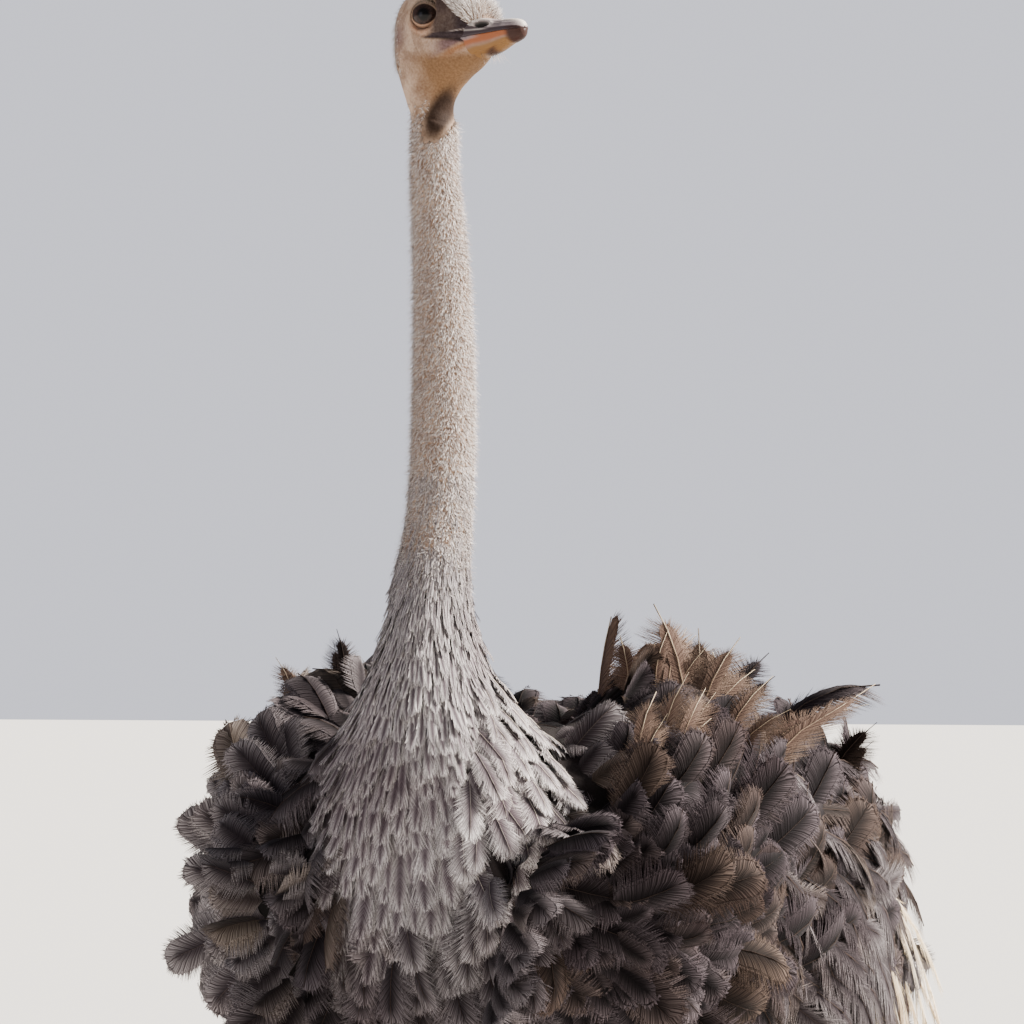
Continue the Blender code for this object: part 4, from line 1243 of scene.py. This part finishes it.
# Bill: forwards, half width, top of the upper half, mouth line, bottom of the lower half, in millimetres.
BILL_ROWS = (
    (40.0, 25.0, 3.0, -28.5, -58.0),
    (46.0, 24.6, -1.0, -28.3, -55.0),
    (53.0, 23.8, -5.0, -28.0, -52.0),
    (61.0, 22.3, -8.0, -27.6, -49.0),
    (70.0, 20.6, -10.2, -27.2, -48.2),
    (80.0, 18.6, -12.2, -26.8, -46.2),
    (90.0, 16.8, -13.8, -26.4, -42.6),
    (99.0, 14.8, -14.4, -26.0, -39.4),
    (107.0, 12.2, -15.4, -25.7, -37.4),
    (112.5, 9.4, -17.0, -25.4, -35.6),
    (116.0, 6.0, -19.5, -25.1, -33.0),
    (117.6, 2.2, -22.5, -25.0, -29.0),
)


BILL_GRID = (120, 96)  # rows, columns
ARCH = 24  # of the columns, across the roof or the floor of the mouth


def make_bill():
    """Both halves of the bill: each ring is the upper or lower half of an oval with squared shoulders,
    the turn's cosine and sine to a power below 1, closed by a shallow arch 1 - x^2 where the halves meet.
    The nail swells over the tip between two grooves. The nostrils are oval pits with a raised brim,
    placed by the share of the ring's rise. The upper half's dark edge ends in a pale line."""
    rows, columns = BILL_GRID
    at = np.linspace(0.0, len(BILL_ROWS) - 1.0, rows)
    a, half, top, mouth, bottom = flow(BILL_ROWS, at).T
    turn = np.linspace(0.0, np.pi, columns - ARCH)
    arch = np.linspace(-1.0, 1.0, ARCH + 2)[1:-1]
    outer = (np.arange(columns) < columns - ARCH)[None, :]
    for name, far, sign in (("upper", top, 1.0), ("lower", bottom, -1.0)):
        boxy = 0.86 if sign > 0 else 0.95
        across = np.concatenate([np.sign(np.cos(turn)) * np.abs(np.cos(turn)) ** boxy, arch])
        rise = np.concatenate([np.sin(turn) ** boxy, 0.0 * arch])
        meet = mouth + 0.10 * sign
        x = np.repeat(a[:, None], columns, 1)
        y = half[:, None] * across[None, :] * (1.0 if sign > 0 else 0.955)
        h = meet[:, None] + (far - meet)[:, None] * rise[None, :]
        h[:, columns - ARCH:] += sign * 1.2 * (1 - arch**2)[None, :] * smooth(half, 4.0, 14.0)[:, None]
        lip = hump(rise, 0.16) * outer
        y = y + 0.5 * lip * np.sign(y) * smooth(half, 3.0, 10.0)[:, None]
        upper = smooth(rise, 0.25, 0.6)[None, :]
        if sign > 0:
            nail = smooth(x, 91.0, 95.0) * np.exp(-((y / (0.60 * half[:, None] + 0.5)) ** 4))
            h = h + 1.0 * nail * upper
            groove = hump(np.abs(y) - 0.62 * half[:, None], 1.1) * smooth(x, 76.0, 82.0)
            h = h - 0.8 * groove * smooth(x, 112.0, 100.0) * upper
            far_off = ((x - 71.0) / 8.6) ** 2 + ((rise[None, :] - 0.62) / 0.21) ** 2
            pit = hump(far_off, 1.0) * outer
            brim = hump(far_off - 2.0, 0.9) * outer
            h = h - 2.6 * pit + 0.45 * brim
            y = y - np.sign(y) * (3.4 * pit - 0.45 * brim)
        else:
            h = h - 0.5 * smooth(x, 98.0, 102.0) * upper
            groove = hump(np.abs(y) - 0.55 * half[:, None], 1.4) * smooth(x, 50.0, 60.0)
            h = h + 1.1 * groove * smooth(x, 106.0, 92.0) * upper
        every = with_ends(np.stack([x, y, h], -1) / 1000.0)
        no_rise = np.zeros(2)  # at the middles of the ends
        risen = np.append(np.tile(rise, rows), no_rise)
        forward = every[:, 0] * 1000.0
        if sign > 0:
            band = smooth(risen, 0.46, 0.26)
            # Painted shade: the nostril pits are near black, standing in for the shade inside the openings.
            nostril_shade = smooth(np.append(pit, no_rise), 0.15, 0.5)
            ridge_shade = 0.40 * smooth(forward, 80.0, 88.0) * smooth(forward, 100.0, 94.0)
            base_shade = 0.85 * smooth(forward, 76.0, 66.0) * smooth(risen, 0.80, 0.66)
            shade = np.maximum(ridge_shade, base_shade * smooth(risen, 0.30, 0.36))
            dark = np.maximum(np.maximum(band * smooth(forward, 36.0, 42.0), shade), 2.0 * nostril_shade)
            tip = 0.6 * band * smooth(forward, 98.0, 108.0)
            # Painted highlight: the nail's top is pale as lit horn; the pale brims above the nostrils and the
            # pale line along the upper half share this value.
            pale = np.append(np.maximum(nail, 0.7 * brim * (rise > 0.45)), no_rise) * (1 - band)
            line = 0.6 * hump(risen - 0.27, 0.035) * smooth(forward, 84.0, 70.0)
            values = {"dark": dark, "orange": 0.0, "golden": 0.0, "tip": tip, "nail": np.maximum(pale, line)}
        else:
            low = smooth(risen, 0.30, 0.62)
            # Painted shadow: a dark brown mark low on the lower half's side, about 74 mm forwards, laid on
            # with the tip's colour.
            painted_shadow = np.exp(-(((forward - 74.0) / 9.0) ** 4))
            painted_shadow = painted_shadow * smooth(risen + 0.010 * (forward - 74.0), 0.76, 0.92)
            lip = smooth(risen, 0.22, 0.06) * smooth(forward, 74.0, 52.0)
            tip = np.maximum(smooth(forward, 98.0, 106.0), 0.9 * painted_shadow)
            orange = (1.0 - low) * (1.0 - lip)
            values = {"dark": 0.45 * lip, "golden": low, "orange": orange, "tip": tip, "nail": 0.0}
        along, around = at / len(BILL_ROWS), np.arange(columns) / columns
        baked = np.stack([np.repeat(along, columns), np.tile(around, rows)], -1)
        faces = tube_faces(rows, columns)
        half_bill = Mesh()
        half_bill.add(
            from_head(every), faces[:, ::-1] if sign > 0 else faces,
            np.concatenate([baked, np.zeros((2, 2))]), **values,
        )
        half_bill.make(f"horn_{name}", finishes["horn"], "bill_horn", (f"bill_{name}",))


make_eye(1, "left")
make_eye(-1, "right")
make_bill()


# ---------------------------------------------------------------- down and bristles


def grow_down():
    """Short pale down that lies down the neck, and none on the dark patch: roots 2.3 mm apart, each with
    two short blades in one piece and one long fine hair in the other."""
    along, around = even_roots(HEAD_END - 4.2, 20.4, 0.0023)
    place, tail, round_, normal = frame_at(along, around)
    mark = marks(place)
    bare = smooth(to_head(place)[:, 2], -0.082, -0.118)
    thin = 1.0 - smooth(mark["patch"], 0.16, 0.45)
    keep = chance.uniform(0, 1, len(place)) < bare * thin * smooth(place[:, 2], 1.235, 1.335)
    place, tail, round_, normal = (k[keep] for k in (place, tail, round_, normal))
    mark, bare = mark["patch"][keep], bare[keep]
    n = len(place)
    bake = bake_place(along[keep], around[keep])
    kinds = (
        ("neck_down", ((0.0035, 0.0075, 0.85, 0.0010), (0.0030, 0.0065, 0.65, 0.0010))),
        ("neck_hairs", ((0.006, 0.012, 1.0, 0.00045),)),
    )
    for name, blades in kinds:
        coat = Mesh()
        for low, high, lift, wide in blades:
            way = unit(tail + round_ * chance.normal(0, 0.55, n)[:, None])
            shaft, up = raised_ways(way, normal, chance.normal(lift, 0.22, n))
            length = chance.uniform(low, high, n) * (0.40 + 0.60 * bare)
            width = wide * chance.uniform(0.75, 1.2, n)
            lay_blades(
                coat, place - normal * 0.0004, shaft, up, length, width, chance.uniform(-0.1, 0.4, n),
                bake, tone=chance.uniform(0, 1, n), dark=smooth(mark, 0.1, 0.45),
            )
        coat.make(name, finishes["down"], "neck_down")


CHIN_HAIRS = 24
LASHES = 64  # along each upper lid's edge


def grow_bristles():
    """Bristles on the head: close and white over the crown and the brow down to the nostrils, a fuzz
    behind the head, a few long hairs under the chin, and the lashes."""
    along, around = even_roots(0.05, HEAD_END - 3.6, 0.0015)
    place, tail, round_, normal = frame_at(along, around)
    local = to_head(place) * 1000.0
    a, _, h = local.T
    crown = marks(place)["crown"]
    nape = smooth(a, -30.0, -52.0)
    clear = smooth(np.hypot(a - 3.6, h), 20.0, 23.0)
    thick = clear * np.maximum(crown, 0.60 * nape)
    keep = chance.uniform(0, 1, len(a)) < thick
    place, tail, round_, normal = (k[keep] for k in (place, tail, round_, normal))
    crown, nape, brow = crown[keep], nape[keep], smooth(a[keep], 40.0, 56.0)
    n = len(place)
    bake = bake_place(along[keep], around[keep])
    bristles = Mesh()
    for _ in range(2):
        way = unit(tail + round_ * chance.normal(0, 0.35, n)[:, None])
        shaft, up = raised_ways(way, normal, chance.normal(0.5, 0.2, n) + 0.45 * crown + 0.25 * brow)
        length = chance.uniform(0.6, 1.25, n) * (0.0014 + 0.0060 * crown**2 + 0.0075 * nape + 0.0035 * brow)
        lay_blades(
            bristles, place - normal * 0.0003, shaft, up, length, chance.uniform(0.00035, 0.0006, n),
            chance.uniform(-0.1, 0.3, n), bake, tone=chance.uniform(0, 0.6, n), dark=0.0,
        )
    n = CHIN_HAIRS
    chin = np.stack([chance.uniform(60, 80, n), chance.normal(0, 5.0, n), np.full(n, -45.0)], -1) / 1000.0
    forwards, up = HEAD_AXES[:, 0], HEAD_AXES[:, 2]
    way = unit(forwards * chance.uniform(0.1, 0.8, n)[:, None] - up + chance.normal(0, 0.12, (n, 3)))
    lay_blades(
        bristles, from_head(chin), way, np.broadcast_to(forwards, (n, 3)), chance.uniform(0.009, 0.018, n),
        np.full(n, 0.00055), chance.uniform(-0.4, 0.2, n), np.tile((0.02, 0.5), (n, 1)), tone=1.0, dark=0.2,
    )
    n = LASHES
    for side in (1, -1):
        turn = np.radians(np.linspace(20.0, 165.0, n) + chance.normal(0, 1.5, n))
        far = eye_opening(turn) + 0.0004
        out = np.sqrt(EYE_RADIUS**2 - far**2) + 0.0006
        middle = np.stack([far * np.cos(turn), out, far * np.sin(turn)], -1)
        ahead = np.stack([0.8 * np.cos(turn), np.full(n, 0.9), 0.7 * np.sin(turn)], -1)
        ahead = unit(ahead + chance.normal(0, 0.10, (n, 3)))
        out = from_eye(ahead, side) - from_eye(0 * ahead, side)
        under = unit(along_skin(np.broadcast_to(-up, (n, 3)), out))
        lay_blades(
            bristles, from_eye(middle, side), out, under, chance.uniform(0.005, 0.009, n),
            np.full(n, 0.00045), chance.uniform(0.1, 0.3, n), np.tile((0.25, 0.5 + 0.25 * side), (n, 1)),
            tone=0.0, dark=1.0,
        )
    bristles.make("head_bristles", finishes["down"], "neck_down")


# ---------------------------------------------------------------- body feathers

# Ring numbers run from 0 at the bill over 14, where the neck starts, and 19, where the body starts, to 36
# at the tail; the shoulders are near 23 and the wings' ends near 30.


def raised_ways(way, normal, lift, roll=0.0):
    """The shaft's way lifted off the skin by this angle, and the vane's outward side, rolled round it."""
    shaft = unit(way * np.cos(lift)[:, None] + normal * np.sin(lift)[:, None])
    across = unit(np.cross(normal, shaft))
    out = np.cross(shaft, across)
    roll = np.broadcast_to(roll, lift.shape)[:, None]
    return shaft, unit(out * np.cos(roll) + across * np.sin(roll))


PIECE_LIMIT = 190000  # triangles


def grow(
    name, slot, pattern, root, way, lift, length, width, curl, cup, sweep, tone, pale,
    roll=0.0, sag=0.0, sink=0.005,
):
    """Feathers of one kind at these roots, sunk into the skin a little, in as many pieces as keep each
    under the limit."""
    place, _, _, normal, bake = root
    count = len(place)
    thin = pattern["faces"][:, 2] == pattern["faces"][:, 3]
    triangles = count * (2 * len(thin) - thin.sum())
    shaft, up = raised_ways(way, normal, lift, roll)
    tone, pale, cup = (np.broadcast_to(v, count) for v in (tone, pale, cup))
    for number, k in enumerate(np.array_split(np.arange(count), math.ceil(triangles / PIECE_LIMIT))):
        part = Mesh()
        lay_vanes(
            part, pattern, (place - normal * sink)[k], shaft[k], up[k], length[k], width[k],
            curl[k], cup[k], sweep[k], bake[k], tone[k], pale[k], sag,
        )
        part.make(f"{name}_{number}", finishes["feather"], slot)


def rooted(along, around):
    """Place, way to the tail, way round, normal and place on the bake map, of these roots."""
    return (*frame_at(along, around), bake_place(along, around))


DOWN = np.array((0.0, 0.0, -1.0))


def along_skin(way, normal):
    """The part of a way that lies in the skin's surface."""
    return way - normal * (way * normal).sum(-1, keepdims=True)


FAN_SHAFT, FAN_BOW = (0.06, 0.78), (0.56, 0.44)  # of every fan-tipped plume


def in_tiers(along, around):
    """Roots moved along the skin into rows that waver a little, so that the feathers end in tiers."""
    apart = np.interp(AT, (17.0, 20.0, 22.0, 23.5, 26.0), (0.007, 0.009, 0.013, 0.018, 0.025))
    tier = np.concatenate([[0.0], np.cumsum(np.diff(DISTANCE) / (0.5 * (apart[1:] + apart[:-1])))])
    here = np.interp(along, AT, tier)
    waver = 0.45 * np.sin(4 * np.pi * around + 0.8 * here) + 0.25 * np.sin(14 * np.pi * around + 2.1 * here)
    rows = np.round(here + waver + chance.normal(0, 0.12, len(along))) - waver
    moved = np.interp(rows + chance.normal(0, 0.08, len(along)), tier, AT)
    return np.where(along > 21.0 + chance.normal(0, 0.4, len(along)), moved, along)


def grow_ruff():
    """The grey coat of the lower neck and the breast, in tiers, longer and wider further down: slim
    strands on the neck, blunt lancets on the breast, and broad fans on the shoulders and at its foot."""
    heights = (0.80, 0.94, 1.04, 1.145, 1.25, 1.35)

    def on_the_shoulder(x, z):
        """1 on the shoulders, which start higher on her left, 0 on the neck and mid-breast."""
        left = smooth(x, 0.045, 0.080) * smooth(z, 1.215, 1.17)
        return left + smooth(-x, 0.11, 0.15) * smooth(z, 1.14, 1.08)

    def spacing(place, _):
        """Close on the neck, wider down the breast and on the shoulders."""
        apart = np.interp(place[:, 2], heights, (0.0185, 0.0155, 0.0112, 0.0068, 0.0038, 0.0028))
        shoulder = on_the_shoulder(place[:, 0], place[:, 2])
        return apart + 0.0075 * shoulder * smooth(place[:, 2], 0.98, 1.06)

    def pale_enough(place, *_):
        """In the pale coat, inside a ragged edge."""
        return plumage(place) > chance.uniform(0.15, 0.65, len(place))

    along, around = scatter(17.2, 29.0, spacing, tries=90000, accept=pale_enough)
    along = in_tiers(along, around)
    order = np.argsort(along)
    along, around = along[order], around[order]
    x, z = shown_skin(along, around)[:, (0, 2)].T
    fanned = np.maximum(on_the_shoulder(x, z), smooth(z, 0.99, 0.89))
    fanned = fanned > chance.uniform(0.2, 0.8, len(z))
    strand = vane(0.11, blunt_outline, 4, 7, (0.72, 0.72))
    lancet = vane(0.16, blunt_outline, 6, 40, (0.48, 0.62))
    fan = vane(0.26, fan_outline, 9, 64, (0.50, 0.82), FAN_SHAFT, FAN_BOW, 0.006)
    kinds = (
        ("ruff_strands", strand, (z > 1.15) & ~fanned), ("ruff_lancets", lancet, (z <= 1.15) & ~fanned),
        ("ruff_fans", fan, fanned),
    )
    for name, pattern, k in kinds:
        root = rooted(along[k], around[k])
        place, tail, round_, normal, _ = root
        n, z_here = k.sum(), z[k]
        broad = 1.0 if pattern is fan else 0.0
        length = np.interp(z_here, heights, (0.100, 0.092, 0.076, 0.060, 0.044, 0.030))
        half = np.interp(z_here, heights, (0.0185, 0.0160, 0.0115, 0.0066, 0.0026, 0.0012))
        length = length * (1.0 - 0.35 * smooth(place[:, 0], 0.03, 0.08) * (1.0 - broad))
        half = half * (1 + 0.45 * broad) + 0.0045 * broad * smooth(z_here, 0.98, 1.06)
        lift = np.interp(z_here, (0.80, 1.1, 1.18, 1.30, 1.36), (0.28, 0.12, 0.17, 0.19, 0.12))
        lift = lift + chance.normal(0, 0.04, n) + 0.26 * broad
        hang = 0.35 + 0.60 * smooth(-place[:, 0], 0.0, 0.10)
        way = tail + along_skin(DOWN, normal) * hang[:, None]
        way = unit(way + round_ * chance.normal(0, 0.08 + 0.22 * broad, n)[:, None])
        light = plumage(place) * np.interp(z_here, (0.86, 1.04), (0.15, 1.0))
        light = light - 0.20 * broad * smooth(z_here, 1.05, 0.95)
        tone = chance.uniform(0, 0.5, n) + 0.45 * smooth(z_here, 1.26, 1.36)
        grow(
            name, "plumage_grey", pattern, root, way, lift,
            length * chance.uniform(0.88, 1.1, n), half * chance.uniform(0.8, 1.25, n),
            chance.normal(-0.10, 0.12, n) - 0.45 * broad, 0.8, chance.normal(0, 0.04, n),
            tone, light.clip(0.1, 1.0), chance.normal(0, 0.12, n), 0.01, 0.002,
        )


def body_way(root, spread):
    """The lie of the body's plumes: to the tail, but up and back above the wing's middle and down and
    back below it."""
    place, tail, round_, normal, _ = root
    height = place[:, 2]
    wing = smooth(np.abs(place[:, 0]), 0.08, 0.22)
    raised = 1.5 * smooth(height, 0.84, 1.00) - 1.0 * smooth(height, 0.90, 0.74)
    up_way = along_skin(-DOWN, normal)
    stray = chance.normal(0, spread, len(place))[:, None]
    return unit(tail + up_way * (raised * wing)[:, None] + round_ * stray)


def body_paleness(place):
    """How pale the body's plumes are: near the breast, and on her right side."""
    return np.maximum(0.35 * plumage(place), 0.27 * smooth(-place[:, 0], 0.06, 0.20))


def grow_plumes():
    """Dark fan-tipped plumes that rise off the body and curl back over, like shells in a heap, over a
    layer of small ones that hides the skin and is closer where the skin would show: on the front and
    inner walls of the wings, on the shoulders and round the edge of the breast."""
    fan = vane(0.34, fan_outline, 10, 96, (0.58, 0.88), FAN_SHAFT, FAN_BOW, 0.006)
    small = vane(0.36, fan_outline, 7, 34, (0.58, 0.86), FAN_SHAFT, FAN_BOW)

    def dark_enough(place, *_):
        """Outside the pale coat, past a ragged edge."""
        return plumage(place) < chance.uniform(0.35, 0.85, len(place))

    def closer_ahead(_, along):
        """18 mm apart, and 25 mm behind the wings."""
        return np.interp(along, (27.0, 29.0), (0.0180, 0.0250))

    along, around = scatter(19.6, LAST - 0.3, closer_ahead, tries=80000, accept=dark_enough)

    def in_a_gap(place, along, around):
        """On the wings' front and inner walls, where the skin turns back along the trunk, or in the edge
        of the pale breast."""
        normal = frame_at(along, around)[3]
        steep = (normal[:, 1] < -0.12) | (np.sign(place[:, 0]) * normal[:, 0] < -0.1)
        steep = steep & (np.abs(place[:, 0]) > 0.05) & dark_enough(place)
        share = plumage(place)
        return steep | ((share > 0.02) & (share < 0.9) & (place[:, 2] < 1.10))

    more = scatter(22.0, 29.0, lambda p, s: np.full(len(p), 0.0130), tries=60000, accept=in_a_gap)
    along, around = np.concatenate([along, more[0]]), np.concatenate([around, more[1]])
    root = rooted(along, around)
    n = len(along)
    length = chance.uniform(0.050, 0.075, n)
    grow(
        "under_plumes", "plumage_dark", small, root, body_way(root, 0.3), chance.normal(0.30, 0.10, n),
        length, length * chance.uniform(0.36, 0.46, n), chance.normal(-0.5, 0.3, n), 1.4,
        chance.normal(0, 0.08, n), chance.uniform(0, 0.8, n), body_paleness(root[0]), chance.normal(0, 0.3, n), 0.02,
    )

    def on_the_wings(place, along, _):
        """Outside the pale coat, as far back as a ragged line where long plumes take over."""
        return dark_enough(place) & (along < chance.uniform(27.8, 30.2, len(along)))

    def wider_behind(_, along):
        """24 mm apart on the shoulders, 29 mm behind them."""
        return np.interp(along, (22.5, 24.5), (0.0240, 0.0290))

    along, around = scatter(19.4, LAST - 0.3, wider_behind, tries=60000, accept=on_the_wings)
    order = np.argsort(along)
    root = rooted(along[order], around[order])
    n = len(along)
    length = np.interp(along[order], (22.5, 24.5), (0.080, 0.096)) * chance.uniform(0.85, 1.18, n)
    place = root[0]
    crest = (place[:, 2] > 1.105) & (place[:, 0] > 0.06) & (np.abs(along[order] - 25.1) < 0.9)
    tone = np.where(crest, 1.3, chance.uniform(0, 1, n) ** 1.3)  # above 1.1 worn brown
    grow(
        "plumes", "plumage_dark", fan, root, body_way(root, 0.28), chance.normal(0.50, 0.14, n),
        length, length * chance.uniform(0.32, 0.40, n), chance.normal(-0.75, 0.30, n),
        chance.uniform(0.8, 1.9, n), chance.normal(0, 0.12, n), tone, body_paleness(place),
        chance.normal(0, 0.30, n), 0.03, 0.008,
    )


# Upright plumes: ring number, place round the ring (her right's from the other end), length, lean to her
# left, sideways sweep, and tone: above 1.1 worn brown with a bare pale tip, below it fresh and dark.
UPRIGHTS = (
    (24.0, 0.110, 0.078, -0.10, -0.10, 1.3),
    (24.2, 0.125, 0.080, -0.25, 0.16, 1.3),
    (24.5, 0.130, 0.092, -0.12, 0.20, 1.3),
    (24.7, 0.120, 0.070, 0.20, 0.10, 1.3),
    (25.0, 0.135, 0.128, -0.05, -0.08, 1.4),
    (25.2, 0.140, 0.104, 0.12, 0.14, 1.3),
    (25.6, 0.130, 0.088, 0.10, -0.10, 1.3),
    (25.7, 0.150, 0.098, 0.10, 0.20, 1.3),
    (26.3, 0.130, 0.092, 0.30, 0.10, 0.2),
    (27.2, 0.145, 0.128, 0.10, 0.55, 1.3),
    (29.3, 0.165, 0.088, 0.35, 0.12, 0.9),
    (24.0, 0.220, 0.112, -0.20, 0.12, 1.3),
    (24.2, 0.200, 0.104, -0.12, 0.20, 1.3),
    (24.4, 0.180, 0.094, 0.15, 0.12, 1.3),
    (24.5, 0.900, 0.070, 0.10, -0.10, 0.8),
    (25.4, 0.880, 0.075, -0.20, -0.15, 1.3),
    (26.3, 0.870, 0.070, -0.10, 0.10, 0.3),
)


def grow_uprights():
    """Worn plumes that stand up from the top of the wings and face forwards: loose thin barbs, and a
    shaft that ends in a bare, pale, curved tip."""
    worn = vane(0.24, worn_outline, 12, 150, (0.32, 0.50), (0.06, 0.76), (0.50, 0.34), 0.014, quill_end=1.0)
    along, around, length, lean, sweep, tone = np.repeat(np.array(UPRIGHTS), 2, axis=0).T
    count = len(along)
    second = np.arange(count) % 2 == 1
    along = along + np.where(second, 0.15, 0.0) + chance.normal(0, 0.05, count)
    around = around + chance.normal(0, 0.004, count)
    length = length * np.where(second, 0.82, 1.0)
    lean = lean + chance.normal(0, 0.12, count) + np.where(second, 0.15, 0.0)
    place, *_, bake = rooted(along, around)
    shaft = unit(np.stack([lean, 0.12 + 0.1 * second, np.ones(count)], -1))
    face = np.stack([chance.normal(0.3, 0.25, count), -np.ones(count), np.zeros(count)], -1)
    part = Mesh()
    width = length * chance.uniform(0.26, 0.32, count)
    curl = chance.normal(-0.45, 0.2, count)
    lay_vanes(
        part, worn, place, shaft, unit(along_skin(face, shaft)), length, width, curl,
        np.full(count, 1.2), -2.2 * sweep, bake, tone, np.zeros(count),
    )
    part.make("upright_plumes", finishes["feather"], "plumage_dark")


WING_QUILLS = 20  # on each wing's end


def grow_long_plumes():
    """Long loose plumes: they droop over the flanks and the folded wings' ends, hang as pale quills
    behind them, and make the tail."""
    loose = vane(0.13, long_outline, 12, 96, (0.40, 0.58), (0.02, 0.74), (0.60, 0.40), 0.004)

    def flank(place, *_):
        """Off the middle of the back, and above the thighs."""
        return (np.abs(place[:, 0]) > 0.05) & (place[:, 2] > 0.78)

    along, around = scatter(27.0, 34.0, lambda p, s: np.full(len(p), 0.024), tries=40000, accept=flank)
    root = rooted(along, around)
    place, tail, _, normal, _ = root
    n = len(place)
    way = unit(tail + along_skin(DOWN, normal) * chance.uniform(0.2, 1.0, n)[:, None])
    length = chance.uniform(0.12, 0.19, n)
    grow(
        "flank_plumes", "plumage_grey", loose, root, way, chance.uniform(0.35, 0.60, n), length,
        length * chance.uniform(0.15, 0.21, n), chance.normal(-1.2, 0.25, n), 1.2, chance.normal(0, 0.16, n),
        chance.uniform(0, 0.9, n), chance.uniform(0.0, 0.30, n), chance.normal(0, 0.3, n), 0.06,
    )
    along, around = scatter(31.8, LAST - 0.1, lambda p, s: np.full(len(p), 0.026), tries=12000)
    root = rooted(along, around)
    place = root[0]
    n = len(place)
    back = np.array((0.0, 1.0, -0.1))
    away = unit(back + np.stack([place[:, 0] * 2.2, 0 * place[:, 0], (place[:, 2] - 0.93) * 2.0], -1))
    length = np.interp(along, (31.8, 35.9), (0.21, 0.29)) * chance.uniform(0.8, 1.1, n)
    grow(
        "tail_plumes", "plumage_grey", loose, root, away, 0.15 + 0 * length, length,
        length * chance.uniform(0.13, 0.17, n), chance.normal(-1.25, 0.2, n), 1.2, chance.normal(0, 0.12, n),
        chance.uniform(0.2, 0.9, n), chance.uniform(0.20, 0.65, n), chance.normal(0, 0.35, n), 0.05,
    )
    count = WING_QUILLS
    for side in (1, -1):
        along = chance.uniform(28.6, 31.2, count)
        around = np.mod(side * chance.uniform(0.215, 0.295, count), 1.0)
        root = rooted(along, around)
        _, tail, _, normal, _ = root
        way = unit(tail * 0.6 + along_skin(DOWN, normal))
        length = chance.uniform(0.17, 0.25, count)
        grow(
            f"wing_quills_{'left' if side > 0 else 'right'}", "plumage_grey", loose, root, way,
            chance.uniform(0.30, 0.50, count), length, length * chance.uniform(0.035, 0.065, count),
            chance.normal(-0.6, 0.2, count), 1.0, chance.normal(0, 0.12, count),
            chance.uniform(1.2, 2.0, count), 1.0, chance.normal(0, 0.3, count), 0.02,
        )


grow_down()
grow_bristles()
grow_ruff()
grow_plumes()
grow_uprights()
grow_long_plumes()


# ---------------------------------------------------------------- stage, camera and light

SIGHT = math.radians(18.0)  # the camera stands this far round to her left
toward = np.array((math.sin(SIGHT), -math.cos(SIGHT), 0.0))
right = np.array((math.cos(SIGHT), math.sin(SIGHT), 0.0))
aim = np.array((0.0, TRUNK_Y - NECK_AHEAD, 1.347)) + right * 0.0795


LENS = 234.4  # mm, over a sensor 36 mm wide
CAMERA_AWAY = 7.0
CAMERA_HEIGHT = 1.25


def make_camera():
    """A long lens from breast height, which looks at the middle of the neck and the breast."""
    camera = bpy.data.cameras.new("camera")
    camera.sensor_width = 36.0
    camera.lens = LENS
    spot = bpy.data.objects.new("camera", camera)
    place = Vector(aim + toward * CAMERA_AWAY)
    place.z = CAMERA_HEIGHT
    spot.location = place
    spot.rotation_euler = (Vector(aim) - place).to_track_quat("-Z", "Y").to_euler()
    bpy.context.scene.collection.objects.link(spot)
    bpy.context.scene.camera = spot


def make_light(name, away, size, power, colour):
    """A soft round lamp of this width, away to the right, towards the camera and up, turned to the
    trunk."""
    lamp = bpy.data.lights.new(name, "AREA")
    lamp.shape = "DISK"
    lamp.size = size
    lamp.energy = power
    lamp.color = linear(colour)[:3]
    spot = bpy.data.objects.new(name, lamp)
    middle = Vector((0.0, TRUNK_Y - 0.1, 1.15))
    spot.location = Vector(right * away[0] + toward * away[1]) + Vector((0, 0, away[2]))
    spot.rotation_euler = (middle - spot.location).to_track_quat("-Z", "Y").to_euler()
    bpy.context.scene.collection.objects.link(spot)


def make_sun(name, away, strength, spread, colour):
    """A far key as wide as spread degrees, so that head, body and feet get the same light."""
    lamp = bpy.data.lights.new(name, "SUN")
    lamp.energy = strength
    lamp.angle = math.radians(spread)
    lamp.color = linear(colour)[:3]
    spot = bpy.data.objects.new(name, lamp)
    spot.location = Vector(right * away[0] + toward * away[1]) + Vector((0, 0, away[2]))
    spot.rotation_euler = spot.location.to_track_quat("Z", "Y").to_euler()
    bpy.context.scene.collection.objects.link(spot)


def make_stage():
    """A pale painted floor in a pale even studio, brighter as a backdrop than as a light."""
    floor = bpy.data.meshes.new("floor")
    floor.from_pydata([(-60, -60, 0), (60, -60, 0), (60, 60, 0), (-60, 60, 0)], [], [(0, 1, 2, 3)])
    # Floor paint, rolled on: matt, so it shows the feet's shadows and no highlight.
    made, _, shader, *_ = begin("painted_floor")
    shader.inputs["Base Color"].default_value = linear("D9D7D3")
    shader.inputs["Roughness"].default_value = 0.9
    floor.materials.append(made)
    ground = bpy.data.objects.new("floor", floor)
    bpy.context.scene.collection.objects.link(ground)
    world = bpy.data.worlds.new("studio")
    world.use_nodes = True
    sky = world.node_tree.nodes["Background"]
    sky.inputs["Color"].default_value = linear("DEDFEA")
    seen = add(world.node_tree, {}, "ShaderNodeLightPath", "Is Camera Ray")
    strength = add(world.node_tree, {"Value": seen, "To Min": 0.38, "To Max": 1.3}, "ShaderNodeMapRange")
    world.node_tree.links.new(strength, sky.inputs["Strength"])
    bpy.context.scene.world = world


make_camera()
make_sun("key", (4.0, -0.5, 2.5), 23.0, 16.0, "FFF7EE")
make_light("fill", (-3.8, 2.6, 2.0), 2.6, 34.0, "E6E8FF")
make_light("rim", (1.5, -3.6, 3.6), 1.8, 130.0, "FFF6EA")
make_stage()
